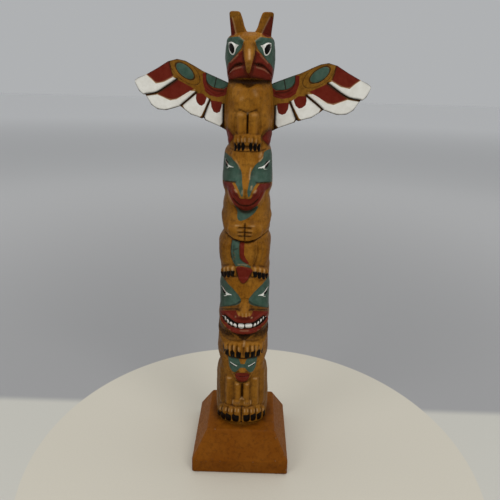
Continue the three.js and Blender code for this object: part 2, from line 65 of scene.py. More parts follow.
def makeCamera(settings):
    data = bpy.data.cameras.new("view")
    data.lens = settings["lens"]
    data.sensor_width = settings["sensor"]
    data.clip_start = 0.01
    camera = addObject("view", data)
    heading = Matrix.Rotation(-radians(settings["heading"]), 4, "Z")
    tilt = Matrix.Rotation(radians(90 - settings["pitch"]), 4, "X")
    roll = Matrix.Rotation(radians(settings["roll"]), 4, "Z")
    camera.matrix_world = Matrix.Translation(settings["place"]) @ heading @ tilt @ roll
    bpy.context.scene.camera = camera


makeCamera(cameraSettings)
bpy.context.scene.view_settings.view_transform = "Standard"
print("camera placed")


# Node helpers
def wireUp(tree, made, wires):
    for socket, value in wires.items():
        if isinstance(value, bpy.types.NodeSocket):
            tree.links.new(value, made.inputs[socket])
        else:
            made.inputs[socket].default_value = value


def addNode(tree, kind, wires=None, **options):
    made = tree.nodes.new("ShaderNode" + kind)
    for key, value in options.items():
        setattr(made, key, value)
    wireUp(tree, made, wires or {})
    return made


def calc(tree, operation, first, second=0.0, clamped=False):
    return addNode(tree, "Math", {0: first, 1: second}, operation=operation, use_clamp=clamped).outputs[0]


def blend(tree, share, first, second, way="MIX"):
    wires = {0: share, 6: first, 7: second}
    return addNode(tree, "Mix", wires, data_type="RGBA", blend_type=way).outputs[2]


def ramp(tree, value, low, high, toLow=0.0, toHigh=1.0):
    wires = {"Value": value, "From Min": low, "From Max": high, "To Min": toLow, "To Max": toHigh}
    return addNode(tree, "MapRange", wires, interpolation_type="SMOOTHSTEP").outputs[0]


def noise(tree, place, scale, detail=2.0, roughness=0.5):
    wires = {"Vector": place, "Scale": scale, "Detail": detail, "Roughness": roughness}
    return addNode(tree, "TexNoise", wires).outputs["Fac"]


def attribute(tree, name):
    return addNode(tree, "Attribute", attribute_name=name).outputs["Fac"]


def newGroup(name, inputs, outputs):
    tree = bpy.data.node_groups.new(name, "ShaderNodeTree")
    for label, kind, value in inputs:
        tree.interface.new_socket(label, in_out="INPUT",
                                  socket_type="NodeSocket" + kind).default_value = value
    for label, kind in outputs:
        tree.interface.new_socket(label, in_out="OUTPUT", socket_type="NodeSocket" + kind)
    taken = tree.nodes.new("NodeGroupInput").outputs
    given = tree.nodes.new("NodeGroupOutput").inputs
    return tree, taken, given


def useGroup(tree, group, wires):
    made = tree.nodes.new("ShaderNodeGroup")
    made.node_tree = group
    wireUp(tree, made, wires)
    return made.outputs


def rgb(red, green, blue):
    return (red, green, blue, 1.0)


# Floor, walls of light and lamps
stageSettings = {
    "floorRadius": 30.0,
    "discCentre": (0.008, -0.018, 0),
    "discEdge": (0.1512, 0.1524),
    "discColour": rgb(0.585, 0.55, 0.465),
    "tableEdge": (0.046, 0.036),
    "tableColour": rgb(0.54, 0.53, 0.48),
    "nearColour": rgb(0.32, 0.32, 0.325),
    "middleReach": (0.16, 1.2),
    "middleColour": rgb(0.66, 0.66, 0.66),
    "farReach": (1.2, 5.0),
    "farColour": rgb(0.95, 0.95, 0.95),
    "skyColour": rgb(0.43, 0.44, 0.45),
    "skyStrength": 1.0,
    "lamps": [
        # name, place, size, power in watts, colour
        ("key", (0.5, -0.7, 1.0), 0.55, 4.2, (1.0, 0.98, 0.95)),
        ("fill", (-0.65, -0.6, 0.75), 0.5, 2.3, (1.0, 0.98, 0.95)),
        ("top", (0.0, 0.1, 1.2), 0.6, 2.8, (1.0, 0.98, 0.95)),
        ("left", (-0.85, 0.1, 0.35), 0.6, 0.7, (0.96, 0.98, 1.0)),
        ("right", (0.85, 0.1, 0.35), 0.6, 0.7, (0.96, 0.98, 1.0)),
    ],
}


def makeStage(settings):
    radius, steps = settings["floorRadius"], 64
    rim = [(radius * cos(2 * pi * i / steps), radius * sin(2 * pi * i / steps), 0) for i in range(steps)]
    mesh = bpy.data.meshes.new("floor")
    mesh.from_pydata(rim, [], [list(range(steps))])
    floor = addObject("floor", mesh)
    material = bpy.data.materials.new("pale_floor")
    material.use_nodes = True
    tree = material.node_tree
    shader = tree.nodes["Principled BSDF"]
    place = addNode(tree, "TexCoord").outputs["Object"]
    moved = addNode(tree, "VectorMath", {0: place, 1: settings["discCentre"]},
                    operation="SUBTRACT").outputs[0]
    away = addNode(tree, "VectorMath", {0: moved}, operation="LENGTH").outputs["Value"]
    depth = addNode(tree, "SeparateXYZ", {0: place}).outputs["Y"]
    # The floor's colour is painted shade and light: dark grey near the turntable, paling to near white far
    # off, where the floor stands in for the backdrop.
    colour = blend(tree, ramp(tree, away, *settings["middleReach"]), settings["nearColour"],
                   settings["middleColour"])
    colour = blend(tree, ramp(tree, away, *settings["farReach"]), colour, settings["farColour"])
    colour = blend(tree, ramp(tree, depth, *settings["tableEdge"]), colour, settings["tableColour"])
    colour = blend(tree, ramp(tree, away, *settings["discEdge"]), settings["discColour"], colour)
    speckle = ramp(tree, noise(tree, place, 900.0, 3.0), 0.3, 0.7, 0.985, 1.01)
    tree.links.new(blend(tree, 1.0, colour, speckle, "MULTIPLY"), shader.inputs["Base Color"])
    shader.inputs["Roughness"].default_value = 0.6
    mesh.materials.append(material)

    world = bpy.data.worlds.new("studio")
    world.use_nodes = True
    world.node_tree.nodes["Background"].inputs["Color"].default_value = settings["skyColour"]
    world.node_tree.nodes["Background"].inputs["Strength"].default_value = settings["skyStrength"]
    bpy.context.scene.world = world

    for name, place, size, power, colour in settings["lamps"]:
        lamp = bpy.data.lights.new(name, "AREA")
        lamp.shape = "DISK"
        lamp.size = size
        lamp.energy = power
        lamp.color = colour
        holder = addObject(name, lamp)
        aim = Vector((0, 0, 0.15)) - Vector(place)
        holder.matrix_world = Matrix.Translation(place) @ aim.to_track_quat("-Z", "Y").to_matrix().to_4x4()


makeStage(stageSettings)
print("stage and lamps set")

# The drawing of the carving: x runs round the pole from the front in millimetres, towards the
# right wing, and level up it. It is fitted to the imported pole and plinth.
plinthLow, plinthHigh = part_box("plinth")
poleLow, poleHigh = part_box("pole")
drawing = {"round": 16.0, "foot": 27.3, "top": 284.9}
rise = (poleHigh.z - poleLow.z) / (drawing["top"] - drawing["foot"])
lap = 2 * pi * drawing["round"]


def zAt(level):
    return poleLow.z + (level - drawing["foot"]) * rise


def levelAt(z):
    return drawing["foot"] + (z - poleLow.z) / rise


def ease(share):
    t = np.clip(share, 0, 1)
    return t * t * (3 - 2 * t)


def lineDistance(points, x, level):
    nearest = np.full(np.shape(x), np.inf)
    for (ax, az), (bx, bz) in zip(points, points[1:]):
        dx, dz = bx - ax, bz - az
        along = np.clip(((x - ax) * dx + (level - az) * dz) / (dx * dx + dz * dz), 0, 1)
        nearest = np.minimum(nearest, np.hypot(x - ax - along * dx, level - az - along * dz))
    return nearest


def insideDistance(points, x, level):
    closed = list(points) + [points[0]]
    inside = np.zeros(np.shape(x), bool)
    for (ax, az), (bx, bz) in zip(closed, closed[1:]):
        if az != bz:
            crossing = ax + (bx - ax) * (level - az) / (bz - az)
            inside ^= ((az > level) != (bz > level)) & (x < crossing)
    distance = lineDistance(closed, x, level)
    return np.where(inside, distance, -distance)


def ovalShare(centre, half, turn, x, level):
    u = ((x - centre[0]) * cos(turn) + (level - centre[1]) * sin(turn)) / half[0]
    v = ((level - centre[1]) * cos(turn) - (x - centre[0]) * sin(turn)) / half[1]
    return np.hypot(u, v)


def softNoise(x, level, size, seed):
    draw = np.random.default_rng(seed)
    columns, rows = max(4, round(lap / size)), ceil(320 / size) + 3
    lattice = draw.uniform(-1, 1, (rows, columns))
    u, v = (x / lap + 0.5) * columns, level / size + 1
    i, j = np.floor(u).astype(int), np.floor(v).astype(int)
    fu, fv = ease(u - i), ease(v - j)
    i, j = i % columns, np.clip(j, 0, rows - 2)
    low = lattice[j, i] * (1 - fu) + lattice[j, (i + 1) % columns] * fu
    high = lattice[j + 1, i] * (1 - fu) + lattice[j + 1, (i + 1) % columns] * fu
    return low * (1 - fv) + high * fv


# Carved forms: how far each stands out or cuts in at a place on the drawing.
def form(at, lowest, highest, sided=False):
    return {"at": at, "lowest": lowest, "highest": highest, "sided": sided}


def swell(centre, half, lift, turn=0.0, sided=False):
    def at(x, level):
        share = ovalShare(centre, half, turn, x, level)
        return lift * np.clip(1 - share * share, 0, 1) ** 0.75

    return form(at, centre[1] - max(half), centre[1] + max(half), sided)


def mound(centre, half, lift, sided=False):
    def at(x, level):
        share = ovalShare(centre, half, 0, x, level)
        return lift * np.clip(1 - share * share, 0, 1) ** 1.5

    return form(at, centre[1] - half[1], centre[1] + half[1], sided)


def ring(centre, radius, width, lift):
    def at(x, level):
        away = np.abs(np.hypot(x - centre[0], level - centre[1]) - radius)
        return lift * ease(1 - away / width)

    return form(at, centre[1] - radius - width, centre[1] + radius + width)


def band(line, width, lift, sided=False):
    levels = [level for _, level in line]
    return form(lambda x, level: lift * ease(1 - lineDistance(line, x, level) / width),
                min(levels) - width, max(levels) + width, sided)


def panel(outline, edge, lift, sided=False):
    levels = [level for _, level in outline]
    return form(lambda x, level: lift * ease(0.5 + insideDistance(outline, x, level) / edge),
                min(levels) - edge, max(levels) + edge, sided)


def nose(rows):
    rows = sorted(rows)
    levels, halves, lifts = zip(*rows)

    def at(x, level):
        off = x / np.interp(level, levels, halves)
        return np.interp(level, levels, lifts) * np.clip(1 - off * off, 0, 1)

    return form(at, levels[0], levels[-1])


def rowOf(places, half, lift, turn=0.0):
    return [swell(place, half, lift, turn) for place in places]


def squattingFigure():
    toes = [(2.6, 38.3), (6.6, 37.6), (10.9, 36.6), (14.8, 35.3)]
    claws = [(-16.2, 31), (-12.2, 31.9), (-8.3, 32.9), (-3.6, 33.7), (3.1, 34), (7, 33.3), (11, 32.6),
             (15.3, 31.9)]
    return [
        panel([(-1, 41.4), (12, 40.8), (16.8, 37.5), (17.6, 29.5), (12, 28.6), (-1, 30.6)], 1.6, 1.1),
        *rowOf(toes, (1.9, 3.2), 0.8),
        *[swell(place, (1.8, 2.8), 0.7, 0, sided=True) for place in claws],
        *[band([(x, 40.2), (x + 0.15, 35.6)], 0.7, -0.5) for x in (4.7, 8.8, 13)],
        band([(0, 41.6), (0, 30)], 1.1, -0.8),
        band([(2.9, 59.3), (2.6, 52), (3, 46.5)], 2.4, 1.3),
        swell((3.4, 44.4), (2.9, 3.1), 1.1),
        *[band([(x, 46), (x + 0.1, 42.6)], 0.45, -0.3) for x in (2.2, 3.4, 4.6)],
        band([(0, 58.6), (0, 49)], 1.4, -1.5),
        band([(8.6, 61.5), (9.2, 54), (9.2, 43.5)], 3.3, 1.5),
        band([(15, 65), (15.8, 54), (15, 42.5)], 3.6, 0.8),

        panel([(-1, 79), (8.4, 78.8), (8, 72.5), (5.6, 67), (3.8, 62.6), (-1, 61)], 1.8, 1.2),
        band([(1.2, 75.4), (4.5, 77), (8, 78)], 1.1, 0.5),
        swell((5, 75.4), (2.4, 1.1), 0.4, 0.3),
        nose([(75, 0.9, 0), (73, 1.4, 0.8), (70.8, 2.2, 1.8), (69.6, 2.1, 1.0), (69, 1.6, 0)]),
        swell((0, 65.6), (4.4, 4.4), 1.2),
        band([(0, 66.5), (2.4, 66.4), (4, 67)], 0.7, -0.6),
        band([(0, 69.4), (1.6, 69), (3.8, 67.6)], 0.7, 0.3),
        band([(0, 63.6), (2.2, 64), (3.2, 65.4)], 0.8, 0.3),
    ]


def grinningBeast():
    fingers = [(2.2, 87.6), (4.9, 87.4), (7.4, 87), (9.6, 86)]
    claws = [(2.1, 82.3), (4.9, 82.3), (8.1, 82.2), (10.4, 80.8)]
    mouthTop = [(-1, 105.2), (3, 105.1), (5.3, 105.8), (7, 107), (8.8, 108.2), (10.8, 108.8), (12.4, 107.6)]
    mouthFoot = [(13.3, 106.6), (11, 104.6), (8.5, 102.6), (6.7, 101.4), (4, 100.8), (-1, 100.5)]
    brow = [(-1, 135), (14, 133.6), (13, 130.8), (11.2, 129.2), (8, 127.3), (5.6, 125.2), (3.6, 122.9),
            (2.4, 121), (-1, 122.5)]
    return [
        panel([(-1, 91.2), (6.5, 91), (11.6, 88.6), (12.2, 82), (9.4, 80.2), (-1, 79.8)], 1.8, 1.3),
        *rowOf(fingers, (1.4, 3.3), 0.9),
        *rowOf(claws[:2], (1.15, 3.1), 0.9),
        *rowOf(claws[2:], (1.15, 3.1), 0.9, 0.25),
        *[band([(x, 88.5), (x, 83)], 0.6, -0.45) for x in (3.5, 6.2, 8.6)],
        band([(0, 91.4), (0, 81)], 0.9, -0.6),
        band([(0.1, 91.6), (0.1, 88)], 0.6, 0.6),
        band([(10.5, 88), (18, 92), (27, 97)], 4.2, 0.9),
        swell((0, 106.5), (16.5, 9.5), 1.7),
        nose([(123, 1.8, 0), (119.5, 2.3, 0.8), (116, 3.3, 2), (113, 4.6, 2.8), (110.8, 4.9, 2.6),
              (109, 4.4, 1.4), (107, 3.4, 0)]),
        mound((3.4, 110.8), (2.2, 2.4), 0.5),
        *[band([(x, 113), (x, 110.4)], 0.5, 0.2) for x in (0.8, 2.3)],
        band([(0, 106.6), (4, 107), (7, 108.6), (11, 110.4), (15, 108.6)], 1.5, 0.8),
        band([(5.4, 113), (8.4, 112.4), (12.5, 111), (16.5, 109.3)], 1, 0.35),
        panel(mouthTop + mouthFoot, 0.9, -1.6),
        band([(0, 102.8), (3.6, 102.9), (6.6, 103.6), (9.4, 105.2), (12, 107)], 2.4, 1.1),
        band([(-1, 98.2), (4, 98.3), (7, 98.8), (9.4, 101), (13.8, 105.2)], 2.2, 1.5),
        swell((0, 98), (7.6, 3), 0.8),
        band([(-1, 94.8), (3, 94.8), (6, 95.4), (10, 98.4)], 1.2, -0.7),
        panel(brow, 1.8, 1),
        band([(2.7, 118.8), (4.4, 117), (8.5, 115), (12, 113.8), (18, 110.6)], 0.9, -0.5),
        swell((13.2, 122.6), (4.4, 2.6), 0.8, 0.25),
        band([(8.2, 122.4), (12.5, 123.9), (17, 125.6)], 0.6, 0.35),
        band([(10.2, 122.3), (13.8, 120.2), (17.2, 121.6)], 0.6, 0.3),
    ]


def bear():
    toes = [(6.8, 139.9), (9.8, 139), (12.6, 137.8), (15.4, 136.4)]
    claws = [(6.5, 137.2), (9.6, 136.2), (12.5, 135), (15.3, 133.8)]
    flap = [(-5, 141.2), (-1.4, 142), (1.6, 141), (5, 139.4), (4, 136.4), (2, 132.8), (0.2, 131.3),
            (-1.2, 131.6), (-3.4, 135.2)]
    brow = [(-1, 212.5), (9.5, 211.6), (10.6, 208.6), (8.6, 206), (5, 203.4), (3, 200.4), (2.1, 196.4),
            (1.3, 192), (0.9, 190), (-1, 190)]
    ear = [(8.5, 218.5), (10.5, 221), (14, 222.6), (20, 222.6), (22, 219), (20, 215), (16, 214.4),
           (12.5, 216)]
    return [
        panel([(4.8, 141.2), (9, 141.2), (16.5, 138.4), (17.8, 133), (13, 132), (4.8, 135.6)], 1.6, 1.4),
        *rowOf(toes, (1.4, 2), 0.7),
        *rowOf(claws, (1.35, 2.1), 0.7, -0.3),
        panel(flap, 1, 0.9, sided=True),
        swell((0, 150.4), (8, 9.5), 0.9),
        band([(-2.6, 157.4), (-2.6, 149), (-1.6, 146), (3.4, 142.6)], 0.6, -0.4, sided=True),
        band([(8.4, 156.6), (8.6, 150), (7.4, 144.5), (6.2, 141.8)], 1.5, -0.5),
        band([(12, 156), (12.4, 150), (11.4, 144)], 1.5, -0.3),
        swell((14.5, 149), (7, 8.5), 1),
        band([(0, 157.4), (3, 157.4), (6, 158.2), (12, 160.8), (22, 164)], 1.2, -1.2),
        panel([(-1, 169.6), (4.5, 169.6), (9.5, 169), (10.5, 161.4), (7, 159), (-1, 158.2)], 2.6, 1.2),
        *[band([(0.5, level), (3.4, level)], 0.75, -0.7) for level in (166.6, 163.9, 161.4)],
        band([(0, 169), (0, 158.8)], 0.8, -0.8),
        band([(5, 164.4), (14, 167.4), (24, 172)], 4.8, 1.1),
        panel([(-1, 178), (8.6, 179.4), (5.6, 174.8), (2.6, 171.2), (-1, 170.6)], 1.4, -0.8),
        mound((0, 186.8), (14, 12), 5.6),
        swell((0, 179.4), (6.4, 3.4), 0.5),
        band([(-1, 180.2), (2, 180.4), (4.4, 181.8), (6.8, 184.6), (9, 188)], 1, -0.7),
        swell((4.9, 189.2), (2.6, 2.6), 0.7, 0.6),
        nose([(205, 5, 0), (200, 3.4, 0.3), (196, 2.7, 0.5), (191, 2.5, 0.8), (187.6, 2.7, 1.3),
              (186, 2.5, 0.8), (184.6, 1.8, 0)]),
        band([(0, 190.4), (0, 186.4)], 0.8, -0.6),
        band([(6.4, 193.2), (4.2, 191), (2.9, 188.2), (2.2, 185.6)], 0.9, 0.6),
        band([(7, 193.4), (11, 193.2), (17, 192.6)], 0.8, -0.6),
        panel(brow, 1.6, 1),
        swell((12.4, 202.8), (4.8, 2.7), 0.9, 0.42),
        band([(7.9, 201.8), (12, 203.2), (15.9, 205.4)], 0.6, 0.35),
        band([(10.4, 202.2), (11.8, 200.9), (15.4, 201.8)], 0.6, 0.3),
        panel(ear, 1.4, 0.5),
        swell((15.8, 219), (3.4, 2.4), -0.5),
    ]


def eagle():
    toes = [(2.4, 217.6), (4.9, 217.5), (7.3, 217.1)]
    claws = [(2.4, 213.9), (4.95, 213.7), (7.5, 213.1)]
    socket = [(3.6, 268.4), (7, 270), (14.5, 271.6), (16.5, 266), (14, 258.2), (9.8, 261),
              (7, 263.3), (4.8, 265.6)]
    chest = [(-1, 244.8), (1.5, 245.6), (5.5, 247), (9, 246.6), (11, 243), (8, 234.5), (-1, 233)]
    return [
        panel([(-1, 220.4), (8, 220.2), (8.8, 216), (8.4, 214.2), (-1, 214.4)], 1.4, 1.1),
        *rowOf(toes, (1.1, 2.7), 0.7),
        *rowOf(claws, (1.1, 2.2), 0.8),
        swell((4.9, 213), (4.6, 2.2), 1.1),  # holds the claws out over the notch under the toes
        band([(3.9, 230.8), (3.9, 222)], 3.2, 1.6),
        swell((3.8, 230.6), (3.2, 2.5), 0.6),
        band([(0, 231.4), (0, 221.5)], 1, -1.5),
        band([(0, 232.4), (2, 232.8), (5.4, 234)], 0.7, -0.4),
        swell((10.5, 226.5), (5, 7), 0.8),
        panel(chest, 3, 0.9),
        nose([(270, 2.6, 0), (268, 3.3, 0.9), (265, 3.8, 2.1), (262, 3.7, 3.3), (259, 3.1, 4.2),
              (256, 2.3, 4.5), (253.6, 1.7, 3.9), (251.8, 1.2, 2.2), (250.4, 0.8, 0)]),
        mound((0, 258), (6.4, 8), 0.8),
        swell((0, 253), (13, 4), 0.9),
        band([(3.4, 257.6), (6, 257.4), (10, 256.4), (13.5, 254.6), (18, 252.4)], 1, -0.9),
        band([(3.4, 268.4), (7, 270.4), (12.5, 271.8), (17, 271.4)], 1.5, 0.9),
        panel(socket, 1.1, -0.7),
        swell((12.2, 265.6), (3.9, 3.2), 0.9, 0.35),
        ring((12, 265.7), 3.8, 0.6, 0.2),
        band([(5, 263.2), (8.5, 260.8), (13.5, 257.6)], 1.2, 0.5),
        band([(5, 255.3), (9, 254.6), (15, 252.4)], 0.9, 0.35),
    ]


figures = [
    {"middle": 0.1, "forms": squattingFigure()},
    {"middle": 0.4, "forms": grinningBeast()},
    {"middle": -0.6, "forms": bear()},
    {"middle": -0.7, "forms": eagle()},
]


def carved(x, level):
    total = np.zeros(np.shape(x))
    for figure in figures:
        across = x - figure["middle"]
        for shape in figure["forms"]:
            near = (level >= shape["lowest"]) & (level <= shape["highest"])
            if near.any():
                side = across[near] if shape["sided"] else np.abs(across[near])
                total[near] += shape["at"](side, level[near])
    return total


# Plain outlines under the carving, as rows of level and radius
outlines = {
    "front": [
        (27.3, 17.9), (31, 17.5), (36, 17.4), (40, 17), (48, 16.6), (60, 16.9), (70, 17.9), (77, 17.4),
        (79.4, 17.2), (80.6, 17.9), (86, 17.9), (91, 17.2), (93, 16), (95.4, 15.8), (97, 17), (100, 17.9),
        (103, 18.3), (112, 18.2), (118, 17.4), (124, 16.8), (130, 16.2), (132, 15.6), (139, 15.8),
        (147, 16.4), (155, 16.6), (157.6, 15.6), (160, 16), (165, 16.4), (170, 15.8), (173, 15.1),
        (176.3, 14.4), (180, 14.9), (184, 14.9), (188, 15.3), (191, 16.6), (194, 17.1), (200, 16), (206, 15),
        (211, 14.2), (213.5, 13.8), (217, 14.9), (222, 15), (232, 15.4), (240, 15.4), (245, 14.4),
        (248.2, 12.4), (249.2, 12.6), (250.4, 14.2), (256, 14.4), (262, 14.4), (267, 14.2), (269.5, 13.8),
    ],
    "side": [
        (27.3, 17.7), (46, 17.95), (51, 17.7), (61, 17.4), (66, 16.6), (69, 15.1), (70.4, 14.5), (71.6, 14.5),
        (73.5, 15.6), (76, 16.7), (80, 17), (87, 16.6), (92, 16.1), (97, 15.8), (100, 16.2), (104.5, 16.8),
        (108, 16.5), (111, 16.1), (120, 16), (126, 16.2), (130, 15.6), (132.3, 15.3), (138.5, 15.7),
        (147, 16.1), (154.7, 16.5), (157.5, 16), (159.6, 15), (161, 14.1), (162, 14.2), (164.4, 14.8),
        (168, 14.6), (174, 14.5), (177.3, 14.7), (179.5, 14.5),
        (181, 14.3), (184.6, 13.6), (186.5, 13.9), (188, 14.6), (190.5, 15.2), (195, 15.2), (204, 14.7),
        (209, 14.2), (211, 13.7), (212.6, 13), (214, 12.2), (215.4, 11.9), (217.6, 12.3), (219.7, 12.9),
        (221.8, 13.4), (222.8, 13.9), (229, 14.7),
        (234, 14.4), (240, 14), (246, 13.2), (248.6, 12.5), (250, 12.6), (252, 13.1), (257, 13.7),
        (261, 14.2), (266, 14), (269.5, 13.5),
    ],
    "back": [
        (27.3, 17.6), (60, 17), (70, 16), (80, 16.4), (110, 16.2), (131, 15.2), (150, 15.8), (159, 14.6),
        (175, 14.6), (184, 13.2), (200, 14.6), (213, 12.7), (228, 14.4), (242, 14), (249, 12.6),
        (258, 13.4), (266, 13.3), (269.5, 13),
    ],
    # how far a level leans towards the right wing
    "lean": [(27.3, 0), (46, 0), (52, -0.3), (66, -0.4), (98, -0.3), (108, 0), (139, 0), (143, -0.7),
             (155, -0.7), (160, 0), (211, 0), (214, 0.5), (221, 0.5), (223, 0), (256, 0), (260, -0.25),
             (269.5, -0.25)],
}
poleSettings = {
    "frontHalf": 19.0,  # finely modelled this far either side of the front
    "frontSpacing": 0.36,
    "backSpacing": 1.5,
    "crownFoot": 269.5,
    "crownTop": 274.8,
    "crownBend": 0.7,
    "crownHole": 0.04,
    "crownRings": 18,
    "outlineBlur": 0.5,
    # cosine of the turn from the front, where the side's outline takes over and where the carving ends
    "sideTurn": (0.15, 0.6),
    "carvedTurn": (0.35, 0.5),
    # level and the spacing of the rings above it
    "rings": [(27.3, 0.38), (42, 0.6), (60, 0.4), (92, 0.36), (142, 0.6), (157, 0.42), (170, 0.5),
              (176, 0.38), (221, 0.6), (248, 0.36), (269.5, 0.36)],
    # size and depth of the chisel and casting unevenness
    "uneven": [(7.0, 0.10, 3), (3.2, 0.07, 4), (1.5, 0.03, 5)],
}


def smoothOutline(rows, blur):
    levels = np.arange(drawing["foot"] - 4, poleSettings["crownTop"] + 4, 0.25)
    known, values = zip(*rows)
    plain = np.interp(levels, known, values)
    span = np.arange(-8, 9)
    weights = np.exp(-0.5 * (span * 0.25 / blur) ** 2)
    spread = np.convolve(np.pad(plain, 8, mode="edge"), weights / weights.sum(), mode="valid")
    return levels, spread


smoothOutlines = {side: smoothOutline(rows, poleSettings["outlineBlur"]) for side, rows in outlines.items()}


def radiusAt(x, level):
    facing = np.cos(x / drawing["round"])
    start, over = poleSettings["sideTurn"]
    front, back = ease((facing - start) / over), ease((-facing - start) / over)
    plain = {side: np.interp(level, *known) for side, known in smoothOutlines.items()}
    radius = front * plain["front"] + back * plain["back"] + (1 - front - back) * plain["side"]
    radius += plain["lean"] * np.sin(x / drawing["round"])
    start, over = poleSettings["carvedTurn"]
    radius += ease((facing + start) / over) * carved(x, level)
    for size, depth, seed in poleSettings["uneven"]:
        radius += depth * softNoise(x, level, size, seed)
    return radius


def spacedColumns(settings):
    xs, x = [0.0], 0.0
    while x < lap / 2:
        beyond = max(0.0, x - settings["frontHalf"]) / (lap / 2 - settings["frontHalf"])
        wider = (settings["backSpacing"] - settings["frontSpacing"]) * ease(beyond * 2.5)
        x += settings["frontSpacing"] + wider
        xs.append(float(x))
    half = np.array(xs) * (lap / 2 / xs[-1])
    return np.concatenate([-half[:0:-1], half[:-1]])


def spacedLevels(rows):
    levels = []
    for (low, spacing), (high, _) in zip(rows, rows[1:]):
        count = round((high - low) / spacing)
        levels += [low + (high - low) * i / count for i in range(count)]
    return np.array(levels + [rows[-1][0]])


def gridFaces(rings, columns):
    step = np.arange(rings - 1)[:, None] * columns
    column = np.arange(columns)[None, :]
    nextColumn = (column + 1) % columns
    corners = [step + column, step + nextColumn, step + columns + nextColumn, step + columns + column]
    return np.stack(corners, axis=-1).reshape(-1, 4)


# A closed skin from rings of points, each end closed by a fan.
def closedSkin(name, rings):
    count, columns = rings.shape[:2]
    points = np.concatenate([rings.reshape(-1, 3), [rings[0].mean(axis=0)], [rings[-1].mean(axis=0)]])
    faces = gridFaces(count, columns).tolist()
    foot, top = count * columns, count * columns + 1
    last = (count - 1) * columns
    faces += [(foot, (i + 1) % columns, i) for i in range(columns)]
    faces += [(top, last + i, last + (i + 1) % columns) for i in range(columns)]
    mesh = bpy.data.meshes.new(name)
    mesh.from_pydata(points.tolist(), [], faces)
    made = addObject(name, mesh)
    volume = np.sum(np.cross(points[[f[0] for f in faces]], points[[f[1] for f in faces]])
                    * points[[f[2] for f in faces]])
    if volume < 0:
        mesh.flip_normals()
    return made


# Rings given in millimetres across and level up
def placed(rings):
    rings = np.array(rings)
    rings[..., :2] *= mm
    rings[..., 2] = zAt(rings[..., 2])
    return rings


# How far a board's face stands out at a distance from its edge, with the edge rounded
def easedFace(half, arris, edge):
    return half - arris + np.sqrt(np.clip(arris ** 2 - np.clip(arris - edge, 0, arris) ** 2, 0, None))


def verticesOf(mesh):
    points = np.zeros(len(mesh.vertices) * 3)
    mesh.vertices.foreach_get("co", points)
    return points.reshape(-1, 3)


def keepValues(mesh, name, values):
    layer = mesh.attributes.new(name, "FLOAT", "POINT")
    layer.data.foreach_set("value", np.asarray(values, np.float32))


# Smooth, but for edges sharper than an angle in degrees
def smoothShading(mesh, angle):
    mesh.shade_smooth()
    mesh.set_sharp_from_angle(angle=radians(angle))


def boolean(target, tool, operation):
    cut = target.modifiers.new("shape", "BOOLEAN")
    cut.object = tool
    cut.operation = operation
    cut.solver = "MANIFOLD"
    evaluated = target.evaluated_get(bpy.context.evaluated_depsgraph_get())
    made = bpy.data.meshes.new_from_object(evaluated)
    target.modifiers.clear()
    target.data = made
    bpy.data.objects.remove(tool)


def poleRings(settings):
    columns = spacedColumns(settings)
    levels = spacedLevels(settings["rings"])
    x, level = np.meshgrid(columns, levels)
    radius, height = radiusAt(x, level), level
    bends = np.linspace(0, pi / 2, settings["crownRings"] + 1)[1:]
    crown = settings["crownTop"] - settings["crownFoot"]
    for bend in bends:
        share = max(settings["crownHole"], cos(bend) ** settings["crownBend"])
        radius = np.vstack([radius, radius[len(levels) - 1] * share])
        height = np.vstack([height, np.full(len(columns), settings["crownFoot"] + crown * sin(bend))])
    angle = columns[None, :] / drawing["round"]
    points = [radius * np.sin(angle) * mm, -radius * np.cos(angle) * mm, zAt(height)]
    return np.stack(points, axis=-1)


# Tufts: rows of level, inner and outer edge. Each one's inner edge is then moved inward by its own amount.
tuftSettings = {
    "rows": [(268.6, 2.2, 11.2), (273.6, 2.2, 11.15), (274.4, 2.9, 11.2), (275.4, 3.8, 11.3),
             (277.3, 4.8, 11.5), (279.4, 5.4, 11.75), (281.6, 6.1, 12.0), (283.6, 6.9, 12.15),
             (284.5, 7.4, 11.9), (284.9, 8.0, 11.4)],
    "inward": {-1: 1.1, 1: 1.3},
    "depth": 9.0,
    "arris": 0.9,
    "hollow": {
        -1: [(8.6, 273), (9.8, 272), (11, 272.4), (11.5, 276), (11.7, 281.6), (11, 281.8), (9.8, 278)],
        1: [(5.6, 273), (8.4, 271.6), (10.8, 272), (11.4, 276), (11.7, 282.2), (10.6, 283), (8.4, 279.6),
            (6.6, 276)],
    },
    "rim": {-1: [(8.2, 273.2), (9.2, 277.4), (10.4, 281.4)], 1: [(5.4, 273.2), (7.4, 277.4), (9.8, 282)]},
    "hollowDepth": 0.7,
    # Painted shade in the tuft hollows and along their outer edges, and a painted highlight along each
    # hollow's rim.
    "hollowShade": 0.45,
    "outerShade": ([(11.3, 271), (11.6, 277), (12.1, 283)], 0.7, 0.7),  # line, width and strength
    "rimLight": (0.35, 0.4),  # width and strength
    "paintFoot": 271.4,
}


def tuftRings(side, settings):
    foot, top = settings["rows"][0][0], settings["rows"][-1][0]
    arris = settings["arris"]
    levels = np.concatenate([np.arange(foot, top - arris, 0.4),
                             top - arris * (1 - np.sin(np.linspace(0, 1, 5) * pi / 2))])
    known, inner, outer = zip(*settings["rows"])
    rings = []
    for level in levels:
        low, high = np.interp(level, known, inner) - settings["inward"][side], np.interp(level, known, outer)
        below = max(0.0, arris - (top - level))
        shrink = arris - np.sqrt(max(0.0, arris * arris - below * below))
        low, high, half = low + shrink * 0.7, high - shrink * 0.7, settings["depth"] / 2 - shrink
        across = np.linspace(low, high, 25)
        edge = np.minimum(across - low, high - across)
        face = easedFace(half, arris, edge)
        inside = insideDistance(settings["hollow"][side], across, np.full(25, level))
        sunk = settings["hollowDepth"] * ease(0.5 + inside / 1.2)
        front = np.stack([side * across, -(face - sunk), np.full(25, level)], axis=-1)
        back = np.stack([side * across[::-1], face[::-1], np.full(25, level)], axis=-1)
        rings.append(np.concatenate([front, back]))
    return placed(rings)


